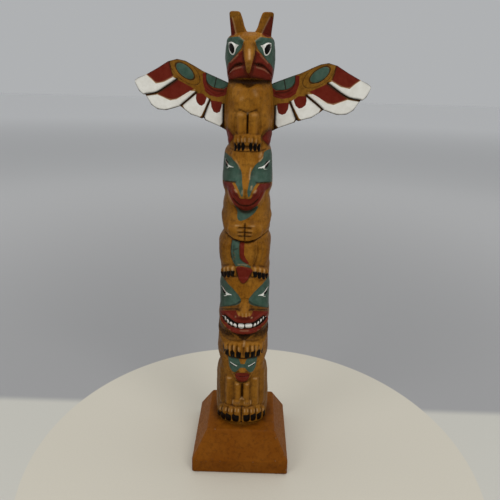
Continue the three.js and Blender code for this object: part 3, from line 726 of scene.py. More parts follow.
# Wings, drawn as rows of distance from the axis and level
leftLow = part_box("left_wing")[0]
rightLow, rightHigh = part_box("right_wing")
wingSettings = {
    "root": rightLow.x / mm,
    "reach": {-1: -leftLow.x / mm, 1: rightHigh.x / mm},
    "thickness": 4.6,
    "arris": 0.8,
    "clearance": 0.3,
    "stations": 190,
    "facePoints": 104,
    "top": [(8, 246), (12, 248), (20, 251.2), (27, 254), (32.5, 257), (37, 259.2), (41.5, 260),
            (46.5, 258.7), (53, 255), (60.5, 251.2), (65, 249.6), (67.5, 248.2)],
    "foot": [(8, 219.4), (12, 221), (17.3, 223.8), (25.6, 227), (26.4, 228.4), (27.6, 227.9),
             (30.5, 229), (34, 230), (38.7, 233.5), (40.2, 234.6), (44, 233.3), (48.6, 232),
             (53.8, 232.4), (57.7, 234.8), (60.4, 239.2), (61.3, 240.6), (62.4, 240.4), (65, 242.2),
             (67.5, 246.8)],
    "grooves": [
        [(61, 240.4), (54.1, 241.4), (48, 245), (41.7, 249.2)],
        [(39.8, 234.8), (30.7, 242.2)],
        [(26.8, 228), (25.2, 232.5), (23, 238.4)],
        [(15, 223), (14.9, 236)],
    ],
    "oval": ((37, 253.6), (5.9, 2.9), 0.66),
    "ovalRing": 1.7,
    "arm": [(27, 253), (26, 245), (19.5, 240.6), (14, 242.5)],
    # depths, with half widths in millimetres or in shares of the oval
    "grooveCut": (0.7, 0.9),
    "armCut": (0.3, 0.8),
    "ovalRise": (0.5, 1.05),
    "ovalCut": (0.22, 1.1, 0.16),
    "ringCut": (0.18, 0.16),
    "uneven": [(5, 0.05, 21), (2.2, 0.03, 22)],
    # how far each wing's feathers were cut beyond the drawing, at distances from the axis
    "stretch": {
        -1: [(14, 0), (48, 0), (60.4, -1.1), (65.9, -1.6)],
        1: [(16, 0), (25, 0.6), (32, 1.8), (40, 2.7), (52, 2.6), (64, 2.7), (69.1, 1.6)],
    },
}


def drawnAt(side, x, settings):
    return x - np.interp(x, *zip(*settings["stretch"][side]))


def wingRelief(x, level, settings):
    centre, half, turn = settings["oval"]
    depth, wide = settings["grooveCut"]
    cuts = [depth * ease(1 - lineDistance(line, x, level) / wide) for line in settings["grooves"]]
    share = ovalShare(centre, half, turn, x, level)
    lift, reach = settings["ovalRise"]
    raised = lift * np.clip(1 - (share / reach) ** 2, 0, 1) ** 0.6
    depth, reach, wide = settings["ovalCut"]
    ringCut = depth * ease(1 - np.abs(share - reach) / wide)
    depth, wide = settings["ringCut"]
    ringCut = ringCut + depth * ease(1 - np.abs(share - settings["ovalRing"]) / wide)
    depth, wide = settings["armCut"]
    armCut = depth * ease(1 - lineDistance(settings["arm"], x, level) / wide)
    uneven = sum(depth * softNoise(x, level, size, seed) for size, depth, seed in settings["uneven"])
    return raised - np.max(cuts, axis=0) - ringCut - armCut + uneven


def wingRings(side, settings):
    reach = settings["reach"][side]
    xs = np.linspace(settings["root"], reach, settings["stations"])
    half, arris = settings["thickness"] / 2, settings["arris"]
    count = settings["facePoints"]
    share = np.linspace(0, 1, count)
    rings = []
    for x in xs:
        drawn = drawnAt(side, x, settings)
        low, high = np.interp(drawn, *zip(*settings["foot"])), np.interp(drawn, *zip(*settings["top"]))
        level = low + (high - low) * share
        across = np.full(count, x)
        edge = np.minimum(np.minimum(level - low, high - level), reach - x)
        face = easedFace(half, arris, edge)
        shown = ease((across - settings["root"]) / 4)
        relief = wingRelief(np.full(count, drawn), level, settings) * shown * ease(edge / arris)
        front = np.stack([side * across, -(face + relief), level], axis=-1)
        back = np.stack([side * across, face + 0.5 * relief, level], axis=-1)[::-1]
        rings.append(np.concatenate([front, back]))
    return placed(rings)


def seatBox(side, settings):
    gap = settings["clearance"]
    low = np.interp(settings["root"], *zip(*settings["foot"])) - gap
    high = np.interp(settings["root"] + 1, *zip(*settings["top"])) + gap
    deep = settings["thickness"] / 2 + gap
    near, far = settings["root"] - gap, settings["reach"][side]
    corners = [(near, -deep), (far, -deep), (far, deep), (near, deep)]
    rings = [[(side * x * mm, y * mm, zAt(level)) for x, y in corners] for level in (low, high)]
    return closedSkin("seat", np.array(rings))


pole = closedSkin("carved_pole", poleRings(poleSettings))
for side in (-1, 1):
    boolean(pole, closedSkin("tuft", tuftRings(side, tuftSettings)), "UNION")
    boolean(pole, seatBox(side, wingSettings), "DIFFERENCE")
print("pole carved:", len(pole.data.vertices), "points")

leftWing = closedSkin("left_wing_board", wingRings(-1, wingSettings))
rightWing = closedSkin("right_wing_board", wingRings(1, wingSettings))
print("wings cut:", len(rightWing.data.vertices), "points each")


# Paint. Each coat is kept as the distance inside its edge in millimetres, so that edges stay sharp.
coatReach = 3.0
coatNames = ["green", "red", "white", "black"]
coatOverlap = 0.16  # how far a coat runs on under a later one, so that no bare line shows between them
# Soft layers over the paint: painted shade, with a few darker bands, and painted highlights.
softNames = ["shade", "paintedHighlight"]


def newCoats(x, level):
    coats = {name: np.full(np.shape(x), -coatReach) for name in coatNames + ["dark"]}
    coats.update({name: np.zeros(np.shape(x)) for name in softNames})
    coats["x"], coats["level"] = x, level
    return coats


def deepen(coats, name, near, value):
    coats[name][near] = np.maximum(coats[name][near], value)


# A new coat, which takes the place of the others. Dark lines lie over all of them, and bare takes paint away.
def lay(coats, colour, distance, near):
    if colour == "dark":
        deepen(coats, colour, near, distance)
        return
    for name in coatNames:
        if name == colour:
            deepen(coats, name, near, distance)
        else:
            under = coatOverlap if colour in coatNames[coatNames.index(name):] else 0
            coats[name][near] = np.minimum(coats[name][near], under - distance)


def rounded(points, closed, rounds=2):
    for _ in range(rounds):
        pairs = list(zip(points, points[1:] + points[:1])) if closed else list(zip(points, points[1:]))
        cut = [(a + (b - a) * t, c + (d - c) * t) for (a, c), (b, d) in pairs for t in (0.25, 0.75)]
        points = cut if closed else [points[0], *cut[1:-1], points[-1]]
    return points


# The places near a mark's levels. Unless it is sided, the drawing is mirrored about the middle.
def folded(coats, points, spread, middle, sided):
    levels = [level for _, level in points]
    near = coats["level"] > min(levels) - spread - coatReach
    near &= coats["level"] < max(levels) + spread + coatReach
    across = coats["x"][near] - middle
    return near, (across if sided else np.abs(across)), coats["level"][near]


def layArea(coats, colour, points, middle=0.0, sided=False, soft=True):
    points = rounded(points, True) if soft else points
    near, x, level = folded(coats, points, 0, middle, sided)
    lay(coats, colour, insideDistance(points, x, level), near)


def layLine(coats, colour, points, half, middle=0.0, sided=False):
    points = rounded(points, False) if len(points) > 2 else points
    near, x, level = folded(coats, points, half, middle, sided)
    lay(coats, colour, half - lineDistance(points, x, level), near)


def layOval(coats, colour, centre, half, turn=0.0, middle=0.0, sided=False):
    near, x, level = folded(coats, [centre], max(half), middle, sided)
    share = ovalShare(centre, half, turn, x, level)
    lay(coats, colour, (1 - share) * min(half), near)


# A claw or tooth: a block with eased corners, its head moved sideways by the lean.
def layBlock(coats, colour, centre, half, lean=0.0, middle=0.0, sided=False):
    (x, level), (wide, tall) = centre, half
    points = [(x - wide + lean, level + tall), (x + wide + lean, level + tall * 0.95),
              (x + wide, level), (x + wide * 0.9 - lean, level - tall),
              (x - wide * 0.85 - lean, level - tall), (x - wide, level)]
    layArea(coats, colour, points, middle, sided)


# Soft shadow or sheen along a line, strongest on it.
def laySoft(coats, name, points, width, strength, middle=0.0, sided=False):
    points = rounded(points, False) if len(points) > 2 else points
    near, x, level = folded(coats, points, width, middle, sided)
    deepen(coats, name, near, strength * np.exp(-(lineDistance(points, x, level) / width) ** 2))


def laySoftArea(coats, name, points, edge, strength, middle=0.0, sided=False):
    near, x, level = folded(coats, points, edge, middle, sided)
    deepen(coats, name, near, strength * ease(0.5 + insideDistance(points, x, level) / (2 * edge)))


# Soft strokes of painted shade and painted highlights, as line, width and strength. Those set apart are drawn
# for one side of the front alone.
def laySoftRows(coats, rows, middle):
    for name in softNames:
        for sided, key in ((False, name), (True, name + "Apart")):
            for line, width, strength in rows[key]:
                laySoft(coats, name, line, width, strength, middle, sided)


# Painted shade in the grooves and creases, and a darker band all round the foot of the pole.
squattingFigureSoft = {
    "shade": [
        ([(1.8, 70.2), (3.2, 69.4), (4.8, 67.6)], 0.7, 0.7),
        ([(4, 64.6), (3, 61.6), (1.4, 60.8), (0, 60.8)], 0.8, 0.8),
        ([(0, 57), (0, 49.6)], 0.8, 0.75),
        ([(5.4, 60), (5.3, 47.6)], 0.8, 0.35),
        ([(12.6, 60.5), (12.6, 44)], 0.9, 0.25),
        ([(0, 41.8), (0, 30)], 0.5, 0.7),
        ([(0, 47.4), (3.2, 48.2), (5.6, 46.8)], 0.5, 0.35),
        ([(0.6, 41.9), (4, 41.5), (7, 41.8)], 0.5, 0.45),
    ],
    "shadeApart": [
        ([(-49, 28), (49, 28)], 2.2, 0.55),
    ],
    "paintedHighlight": [
    ],
    "paintedHighlightApart": [
    ],
}


def paintSquattingFigure(coats):
    middle = 0.1
    area, stroke = partial(layArea, coats, middle=middle), partial(layLine, coats, middle=middle)
    area("green", [(9.4, 79.4), (9, 76.5), (8, 73.4), (6.8, 70.8), (5.4, 69.2), (4, 69), (2.8, 70.6),
                   (1.8, 72.2), (1.2, 73.2), (-2, 73.5), (-2, 75.1), (0.9, 75.5), (1.5, 76.6), (2.2, 79.4)])
    stroke("black", [(4.3, 73.9), (6.7, 75)], 0.42)
    stroke("white", [(3.4, 74), (5.2, 75)], 0.36)
    stroke("white", [(5.2, 75.1), (7, 75.9)], 0.27)
    area("red", [(-1, 70.6), (1.5, 69.6), (3, 68.9), (4.5, 67.3), (3.5, 65.2), (2.8, 62.8), (1.6, 61.3),
                 (-1, 61.1)])
    area("bare", [(-1, 73.4), (0.9, 73), (1.8, 70.9), (1.3, 69.9), (-1, 70)])
    stroke("dark", [(-1, 66.5), (2.4, 66.4), (4, 67)], 0.16)
    for centre, half in [((-16.3, 31.4), 2.1), ((-12.1, 31.6), 2), ((-8, 32.4), 1.95), ((-3.5, 33.2), 2.15),
                         ((3.1, 33.6), 2.05), ((7.2, 33.4), 1.8), ((11.4, 32.8), 1.9), ((15.9, 32.4), 1.8)]:
        layBlock(coats, "black", centre, (half, 3), 0, middle, sided=True)
    stroke("dark", [(0, 55), (0, 51)], 0.14)
    # Painted highlights on the raised parts: fists, knuckles and toes.
    for line in ([(5.7, 45.6), (5.8, 43.2)], [(2.5, 59.6), (3.5, 59.4)], [(7.2, 63), (9, 62.8)],
                 [(0.4, 48), (1, 47.4)]):
        laySoft(coats, "paintedHighlight", line, 0.45, 0.5, middle)
    for x, level in [(2.8, 46), (4, 45.8), (1.7, 46)]:
        laySoft(coats, "paintedHighlight", [(x, level), (x, level - 2)], 0.22, 0.4, middle)
    for x, level in [(1.8, 40.4), (3.7, 40.2), (5.8, 39.6), (7.7, 39.2), (9.8, 38.8), (12.2, 38), (14.2, 37)]:
        laySoft(coats, "paintedHighlight", [(x, level), (x, level - 1.6)], 0.28, 0.6, middle)
    laySoftRows(coats, squattingFigureSoft, middle)


# Painted shade under the mask, the mouth, the lip and the hands; painted highlights on the nose, lips, cheeks
# and hands.
grinningBeastSoft = {
    "shade": [
        ([(2.6, 114.6), (5, 114.2), (8, 113.4), (12, 112.2), (16, 110.2), (19, 108.7)], 0.8, 0.95),
        ([(3, 119), (4.4, 117.2), (8, 115.4)], 0.5, 0.5),
        ([(4.4, 115.6), (9, 114), (14, 112), (19, 109.9), (24, 108.4)], 1.2, 0.5),
        ([(9, 100.8), (13.4, 104.8), (14.6, 106.2)], 0.6, 0.5),
        ([(0, 94.6), (5, 94.8), (8.4, 95.6), (10.4, 98)], 0.8, 0.75),
        ([(0, 91.9), (5, 91.4), (9, 90.9), (13, 91.6)], 0.5, 0.6),
        ([(0, 79.5), (6, 79.2), (10, 79), (13, 80.6)], 0.5, 0.7),
    ],
    "shadeApart": [
        ([(-2, 109.2), (1.4, 109.2)], 0.9, 0.4),
    ],
    "paintedHighlight": [
        ([(7.7, 99.8), (8.2, 97.2)], 0.5, 0.3),
        ([(13.8, 105.2), (16, 103.6), (17.6, 102.4)], 0.4, 0.4),
    ],
    "paintedHighlightApart": [
        ([(3.4, 109.9), (3.7, 109.1)], 0.42, 1.0),
        ([(-4.4, 109.9), (-4.5, 109.2)], 0.36, 0.6),
        ([(-2, 99.95), (2.2, 99.95)], 0.28, 0.35),
        ([(0.3, 91.2), (0, 88.6)], 0.5, 0.5),
    ],
}


def paintGrinningBeast(coats):
    middle = 0.4
    area, stroke = partial(layArea, coats, middle=middle), partial(layLine, coats, middle=middle)
    area("green", [(13, 129.9), (10, 129), (8, 127.5), (6, 125.9), (4.8, 124.6), (3.6, 123.1), (2.4, 121.4),
                   (2.1, 120), (2.5, 118.3), (3.7, 116.9), (5.6, 115.9), (9, 114.8), (12, 113.6), (15, 112.2),
                   (17.5, 110.9), (19, 109.9), (25, 109), (25.5, 131), (18, 131.4)])
    area("red", [(-2, 111.6), (1.5, 111.8), (3, 113.5), (6, 113.4), (9, 112.4), (13, 111), (17, 109),
                 (19.5, 107.2), (17.4, 105.4), (13.6, 104.9), (10, 102), (-2, 102)])
    area("red", [(-2, 102), (8.4, 102), (8.8, 100), (8.4, 96.4), (7, 95.4), (4, 95.1), (-2, 95)])
    area("bare", [(7, 101.4), (9, 102.6), (13.8, 106.4), (14.8, 105), (12, 101), (9.4, 99.6), (8.4, 98.6)])
    area("bare", [(-2, 122.4), (2, 121), (2.4, 118.4), (3.2, 116), (4.7, 114.4), (4.4, 113), (3.4, 112),
                  (2.6, 111.2), (1.8, 111.6), (1.2, 110.9), (-2, 111.2)])
    area("black", [(-2, 105.3), (3, 105.2), (5.3, 105.9), (7, 107.1), (8.8, 108.4), (10.8, 109),
                   (13.6, 106.8), (11, 104.4), (8.5, 102.4), (6.7, 101.2), (4, 100.6), (-2, 100.3)],
         soft=False)
    layBlock(coats, "white", (-1.6, 102.75), (1.6, 1.95), 0, middle, sided=True)
    layBlock(coats, "white", (2.5, 102.9), (1.9, 1.8), -0.2, middle, sided=True)
    teeth = [(-4.9, 102.8, 0.95, 1.6, 0.15), (-7.2, 103.5, 0.9, 1.4, 0.2), (-9.3, 104.7, 0.72, 1.4, 0.25),
             (-11.1, 106.1, 0.62, 1.35, 0.3), (-12.6, 107.4, 0.45, 0.9, 0.4), (5.9, 103.1, 0.72, 1.5, -0.1),
             (7.8, 104.1, 0.58, 1.4, -0.12), (9.6, 105.3, 0.5, 1.35, -0.15), (11.3, 106.5, 0.42, 1.2, -0.2),
             (12.7, 107.6, 0.32, 0.8, -0.2)]
    for x, level, wide, tall, turn in teeth:
        layOval(coats, "white", (x, level), (wide, tall), turn, middle, sided=True)
    area("red", [(-2, 105.4), (3, 105.3), (5.3, 106), (7, 107.2), (8.8, 108.5), (10.8, 109.1), (13.6, 107),
                 (15, 108.6), (11, 111.2), (7, 109.6), (4, 107.8), (-2, 107.2)], soft=False)
    area("bare", [(6.8, 101.1), (8.5, 102.2), (11, 104.1), (13.6, 106.6), (14.8, 105), (12, 101), (9.4, 99.6),
                  (8.6, 98.6)], soft=False)
    stroke("red", [(7.4, 101.2), (9.4, 102.4), (11.6, 104.1), (14.4, 106.6)], 0.5)
    area("red", [(-2, 100.7), (4, 100.9), (6.7, 101.4), (9.2, 102.6), (9.6, 100.6), (8.4, 98), (-2, 97)],
         soft=False)
    area("black", [(11.6, 123.6), (13, 124.7), (15, 125.6), (17, 125.9), (16, 123.9), (14, 122.3),
                   (12.4, 122)])
    area("white", [(8.3, 122.3), (10.3, 122.8), (12.2, 123.4), (12, 122.3), (11.2, 121.7)])
    stroke("white", [(8.2, 122.4), (10.3, 122.9), (12.5, 123.9), (14.7, 124.9), (17, 125.5), (19, 124.7)],
           0.22)
    stroke("white", [(10.3, 122.4), (12.1, 121), (13.8, 120.2)], 0.21)
    # Painted shade on the jaw's sides and under the lower lip.
    laySoftArea(coats, "shade", [(7, 96), (8.6, 98.4), (11, 99.6), (15, 103.6), (24, 105), (25, 93),
                                 (14, 91.6), (5, 92.6)],
                2, 0.9, middle)
    laySoftArea(coats, "shade", [(-1, 95.6), (3.6, 95.4), (4.8, 94.6), (2.6, 92.6), (0.6, 91.7), (-1, 91.7)],
                0.5, 1, middle)
    # Painted highlights down the nose.
    for x, strength in [(-2.6, 0.2), (-0.9, 0.3), (0.7, 0.5), (2.2, 0.3)]:
        laySoft(coats, "paintedHighlight", [(x, 112.9), (x + 0.1, 110.8)], 0.26, strength, middle, sided=True)
    for centre, half, lean in [((2.3, 82.1), (1.35, 2.9), 0), ((5.5, 82.2), (1.3, 2.9), 0.1),
                               ((8.6, 82.8), (1.25, 2.7), 0.2), ((11.6, 83.9), (1.15, 2.3), 0.3)]:
        layBlock(coats, "black", centre, half, lean, 0.1)
    # Painted highlights on the fingers and painted shade between them.
    for x, level, strength in [(2.3, 88, 0.35), (4.9, 88.5, 0.5), (7, 88, 0.3), (8.8, 87.4, 0.25)]:
        laySoft(coats, "paintedHighlight", [(x, level), (x, level - 2.6)], 0.36, strength, 0.1)
    for x in (3.5, 6.2, 8.5):
        laySoft(coats, "shade", [(x, 88.4), (x, 84.6)], 0.35, 0.6, 0.1)
    laySoftRows(coats, grinningBeastSoft, middle)


# Painted shade in the grooves, under the hands and muzzle and round the ears; painted highlights on the
# hands, muzzle, flap and brows.
bearSoft = {
    "shade": [
        ([(0, 169), (0, 159)], 0.45, 0.85),
        ([(6.3, 155), (6.5, 150), (5.8, 144)], 0.7, 0.4),
        ([(10.6, 155), (11.2, 150), (10.4, 144)], 0.7, 0.3),
        ([(5.2, 194), (8, 193.7), (14, 193.1), (18, 192.4)], 0.5, 0.9),
        ([(0, 188.6), (0, 185.6)], 0.6, 0.45),
        ([(-1, 180.1), (2, 180.3), (4.4, 181.7), (6.4, 184)], 0.6, 0.9),
        ([(1.8, 184.6), (3.4, 185.4), (5.2, 187.4)], 0.5, 0.45),
        ([(8.4, 218.6), (10.6, 221.6), (14, 223.4), (20.4, 223.4)], 1.4, 0.7),
        ([(20.4, 214.4), (16, 213.8), (12.3, 215.6), (8.4, 218.2)], 0.5, 0.6),
        ([(-1, 211.2), (5, 211.1), (9.5, 211.5), (14, 212.4)], 0.4, 0.85),
    ],
    "shadeApart": [
        ([(-6.8, 152), (-3.8, 153.6)], 0.4, 0.8),
        ([(-8.4, 157.6), (-8.2, 147)], 0.45, 0.7),
        ([(-2.8, 157.4), (-2.7, 149), (-2, 146.6), (1.4, 143.7)], 0.35, 0.75),
        ([(-5, 141.4), (-3.8, 134.8), (-1, 130.8), (0.4, 130.8), (3.4, 134.8), (5.2, 138.8)], 0.4, 0.6),
        ([(-8.6, 158.6), (-3.4, 157.7), (0.1, 157.5), (2.6, 157.3), (5.1, 157.9), (7, 159.2)], 0.5, 0.95),
        ([(-8.4, 158.6), (-13, 160.6), (-19, 163)], 0.7, 0.6),
        ([(-6, 179), (-2.8, 176.2), (0.4, 175.4), (3.4, 176.2), (6.2, 178.4)], 1.1, 0.9),
    ],
    "paintedHighlight": [
        ([(3.4, 167.9), (5.2, 167.8)], 0.4, 0.45),
        ([(4.5, 189.8), (4.0, 188.8)], 0.55, 0.9),
        ([(12, 187.6), (9.4, 184), (7.6, 181.4)], 0.5, 0.3),
    ],
    "paintedHighlightApart": [
        ([(-3.6, 143), (-0.6, 143.5), (1.6, 142.9)], 0.4, 0.5),
        ([(7.6, 205.8), (9.2, 206.7), (10.4, 207.8)], 0.5, 1.0),
        ([(8, 208.4), (9, 209.8)], 0.9, 0.45),
        ([(2.5, 202), (1.9, 199), (1.8, 196)], 0.35, 0.6),
        ([(-6.6, 205.6), (-5, 203.9), (-3.9, 201.6)], 0.5, 0.5),
        ([(2.7, 192.2), (2.4, 190.4)], 0.45, 0.6),
        ([(-1.1, 190), (-1.4, 188)], 0.4, 0.4),
    ],
}


def paintBear(coats):
    middle, eyeMiddle = -0.6, -1.0
    area, stroke = partial(layArea, coats, middle=middle), partial(layLine, coats, middle=middle)
    area("green", [(-8.3, 158), (-8.6, 152), (-8, 146), (-6.4, 143), (-5, 141.6), (-1.4, 142.6), (1.6, 141.7),
                   (4.2, 140.9), (4.1, 141.8), (1.6, 143.8), (-0.9, 145.4), (-2.4, 147.6), (-2.8, 150),
                   (-3, 157.6)], sided=True, soft=False)
    for line in ([(-6.6, 150.6), (-5.4, 149.6)], [(-5.6, 148.4), (-5.2, 147.2)], [(-6.4, 147.2), (-6, 146)]):
        stroke("bare", line, 0.22, sided=True)
    area("red", [(-2.9, 157.8), (-2.6, 150), (-2.2, 147.4), (-0.6, 145.4), (1.4, 144), (2.9, 143.4),
                 (2.6, 145), (1, 147.4), (0, 150), (0, 157.6)], sided=True, soft=False)
    area("red", [(-4.9, 141.4), (-4.3, 138), (-3.6, 135.4), (-2.4, 132.9), (-1.1, 131.1), (0.3, 131),
                 (2, 132.6), (3.4, 135.2), (4.4, 137.2), (5.4, 139.4), (4.6, 140.3), (1.6, 141.2),
                 (-1.4, 142.3)], sided=True)
    for (x, level), half in [((6.7, 136.9), (1.3, 2.4)), ((9.4, 136), (1.25, 2.4)), ((12.1, 135), (1.2, 2.3)),
                             ((14.9, 134), (1.25, 2.2)), ((17.9, 132.9), (1.2, 1.8))]:
        layBlock(coats, "black", (x, level), half, -0.2, middle)
    # Painted highlights on the toes.
    for x, level in [(6.6, 141), (9.6, 140.2), (12.6, 139)]:
        laySoft(coats, "paintedHighlight", [(x, level), (x - 0.2, level - 1.6)], 0.5, 0.5, middle)
    stroke("dark", [(0.6, 157.5), (3, 157.4), (5.2, 158), (7, 159.2)], 0.2, sided=True)
    area("dark", [(5.4, 158.1), (8.6, 159), (12.8, 161.8), (9.2, 160.9), (6.6, 159.6)], sided=True)
    # Painted shade in the finger grooves, with painted highlights above them.
    for level in (166.6, 163.9, 161.4):
        laySoft(coats, "shade", [(0.6, level), (3.3, level)], 0.4, 0.9, middle)
        laySoft(coats, "paintedHighlight", [(2, level + 1.3), (3.8, level + 1.3)], 0.4, 0.2, middle)
    area("green", [(-7.6, 180.4), (-6.4, 177), (-5.4, 175), (-5.2, 171.8), (-3.9, 170.5), (-1.9, 170.5),
                   (0.6, 171.5), (3.1, 172.9), (5.6, 174.7), (7.6, 176.9), (8.8, 180)], sided=True)
    area("red", [(-1, 185.2), (0.8, 184.9), (1.5, 184.8), (2.6, 185), (3.4, 187.4), (4.4, 189.9),
                 (5.6, 191.9), (7, 193.2), (14, 192.8), (18.5, 192), (18, 190), (13.6, 188.6), (11.4, 187),
                 (9.6, 184.6), (7.7, 181.6), (5.7, 178.8), (3.6, 176.9), (-1, 176.2)], soft=False)
    area("green", [(20, 209.4), (15, 208.6), (11, 207.4), (8.5, 206), (6.5, 204.9), (5, 203.6), (3.8, 202),
                   (2.8, 200), (2.1, 197.5), (1.7, 195), (1.2, 192.3), (0.85, 190), (0.9, 188), (1.2, 186.1),
                   (1.6, 186), (2.1, 187), (2.7, 189.4), (3.8, 191.8), (5.5, 193.9), (9, 193.7), (14, 193.2),
                   (23, 192.4), (24, 206)], soft=False)
    area("green", [(10.4, 207), (11.5, 210), (13, 211.3), (18, 212), (24, 211.5), (24, 206), (14, 206)],
         sided=True)
    area("bare", [(1.4, 185.8), (2.1, 186.6), (2.85, 189), (4, 191.6), (5.6, 193.6), (6.8, 193.6),
                  (5.2, 191.6), (4, 189.4), (3.1, 187.2), (2.3, 184.9), (1.5, 184.6)], soft=False)
    area("black", [(11, 203.8), (12.6, 204.9), (14.6, 205.9), (15.6, 205.2), (14.6, 203.4), (13.2, 202.1),
                   (11.8, 201.6)], middle=eyeMiddle)
    area("white", [(7.7, 201.7), (9.8, 202.5), (11.5, 203.2), (11.3, 202.2), (10.6, 201.8)], middle=eyeMiddle)
    stroke("white", [(7.5, 201.8), (9.8, 202.5), (11.6, 203.3), (13.2, 204.3), (15.5, 205.3), (18.4, 205.6)],
           0.18, middle=eyeMiddle)
    stroke("white", [(10, 202.3), (11.3, 200.9), (13.2, 201)], 0.17, middle=eyeMiddle)
    area("red", [(8.4, 218.4), (10.4, 221.2), (14, 223.2), (20.4, 223.2), (22.6, 219), (20, 214.6), (16, 214),
                 (12.3, 215.8)])
    laySoftRows(coats, bearSoft, middle)


# Painted shade in the slit and grooves, round the beak and mouth and under the head; painted highlights on
# the legs, chest, beak, brows and cheeks.
eagleSoft = {
    "shade": [
        ([(0, 231.2), (0, 223)], 0.4, 0.9),
        ([(0, 232.6), (2, 232.9), (5.2, 234)], 0.4, 0.35),
        ([(7.6, 231), (8, 222)], 0.7, 0.4),
        ([(0.4, 216.2), (4, 216.1), (8.4, 215.6)], 0.35, 0.5),
        ([(7.6, 267.2), (9.6, 266.4)], 0.7, 0.35),
        ([(3.9, 266.6), (3.8, 263.6), (3.1, 260.6), (2.4, 257.4), (1.6, 254.4)], 1.0, 0.55),
        ([(4.4, 265.6), (5.6, 264.6), (9, 261.9), (13, 259), (16, 257.3), (20, 255.7), (24, 254.3)], 0.5,
         0.65),
        ([(9.5, 256.8), (13.5, 254.8), (18, 252.6)], 0.5, 0.75),
        ([(2.8, 262), (2.4, 259), (1.8, 256.4), (1.2, 253.8)], 0.7, 0.5),
        ([(0.2, 257), (0.1, 252)], 2.2, 0.5),
        ([(0, 249), (12, 248.6)], 2.4, 0.35),
    ],
    "shadeApart": [
    ],
    "paintedHighlight": [
        ([(0, 232), (0, 231.7)], 0.5, 0.6),
        ([(2.8, 231.1), (4.8, 231.4)], 0.7, 0.2),
        ([(4.6, 256), (9, 255.2), (13, 253.6)], 0.4, 0.25),
        ([(3.4, 269.2), (5.4, 270.7), (8.4, 271.9)], 0.35, 0.4),
        ([(6.9, 262), (9, 260.4), (12, 258.6)], 0.45, 0.25),
    ],
    "paintedHighlightApart": [
        ([(3.6, 243.6), (4.4, 242)], 1, 0.24),
        ([(-3.8, 239.4), (-3, 239.8)], 0.9, 0.22),
        ([(0.1, 264.4), (0.3, 262.4), (0.4, 260)], 0.55, 0.75),
    ],
}


def paintEagle(coats):
    middle = -0.7
    area, stroke = partial(layArea, coats, middle=middle), partial(layLine, coats, middle=middle)
    for (x, level), half in [((2.3, 213.9), (1.15, 2.5)), ((4.85, 213.7), (1.15, 2.5)),
                             ((7.4, 213.3), (1.1, 2.4))]:
        layOval(coats, "black", (x, level), half, 0, middle)
    stroke("dark", [(0, 230.2), (0, 225)], 0.12)
    # Painted highlights on the toes.
    for x, level in [(1.2, 218.4), (2.9, 218.2), (5.2, 217.8)]:
        laySoft(coats, "paintedHighlight", [(x, level), (x, level - 1.8)], 0.4, 0.38, middle)
    area("red", [(-1, 264.4), (3, 264.6), (4.9, 264), (7.2, 262.5), (10.2, 260.5), (13.3, 258.8), (16, 257.4),
                 (20, 255.8), (24, 254.6), (24, 249.2), (19, 249), (13, 249.6), (8, 250.2), (3, 250.4),
                 (-1, 250.4)], soft=False)
    area("green", [(3.2, 269.2), (4.8, 270.3), (7, 271.4), (9.6, 272.2), (13, 272.2), (16, 272), (25, 272),
                   (25.6, 262), (25, 254.4), (20, 255.9), (16, 257.5), (13.3, 259.2), (11.3, 260.5),
                   (9, 262.1), (7, 263.7), (5.4, 265.3), (4.3, 267.1)], soft=False)
    area("bare", [(-1, 270), (3.1, 269), (3.6, 267.6), (3.7, 266), (3.5, 264), (3.0, 262), (2.3, 260),
                  (1.7, 258), (1.3, 256), (0.9, 254), (0.6, 252.8), (-1, 252.2)])
    area("white", [(7.1, 267.1), (9.2, 267.5), (11.5, 268.5), (14, 269.1), (16, 268.9), (16.1, 266.6),
                   (15.2, 264.9), (14, 263.2), (12.2, 262.3), (10.6, 262.3), (9.5, 263.5), (9, 265),
                   (8.5, 266.1)], soft=False)
    area("black", [(15.7, 268.4), (12.8, 268.2), (10.9, 267.3), (9.7, 265.6), (9.8, 264), (10.8, 262.8),
                   (12.2, 263), (13.2, 264.1), (14.6, 265.6), (15.8, 266.9)], soft=False)
    # Painted shade in the mouth's corners and under the beak and jaw, and the painted shadow of the head on
    # the chest.
    laySoftArea(coats, "shade", [(3.4, 257.6), (5.5, 258.6), (8, 258.4), (10.6, 257), (8.5, 256.1),
                                 (5, 256.2)], 0.7,
                0.85, middle)
    laySoftArea(coats, "shade", [(-1, 252), (3, 251.8), (8, 250.8), (13, 249.8), (19, 248.8), (19, 247.6),
                                 (-1, 247.6)],
                0.8, 0.7, middle)
    laySoftArea(coats, "shade", [(-1, 245.4), (1, 245.5), (2.8, 246.3), (5.4, 247.5), (10, 248), (20, 248.6),
                                 (20, 250), (-1, 250)], 0.5, 1, middle)
    laySoftRows(coats, eagleSoft, middle)


def paintTufts(coats, points, settings):
    for side in (-1, 1):
        front = (levelAt(points[:, 2]) > settings["paintFoot"]) & (side * points[:, 0] > 2 * mm)
        front &= points[:, 1] < -1.0 * mm
        x, level = np.abs(points[front, 0]) / mm, levelAt(points[front, 2])
        for name in coatNames:
            coats[name][front] = -coatReach
        inside = insideDistance(rounded(settings["hollow"][side], True), x, level)
        coats["red"][front] = inside
        # Painted shade in the hollow and along the outer edge; a painted highlight along the rim.
        deepen(coats, "shade", front, settings["hollowShade"] * ease(0.5 + inside / 1.6))
        line, width, strength = settings["outerShade"]
        deepen(coats, "shade", front, strength * np.exp(-(lineDistance(line, x, level) / width) ** 2))
        width, strength = settings["rimLight"]
        rim = lineDistance(settings["rim"][side], x, level)
        deepen(coats, "paintedHighlight", front, strength * np.exp(-(rim / width) ** 2))


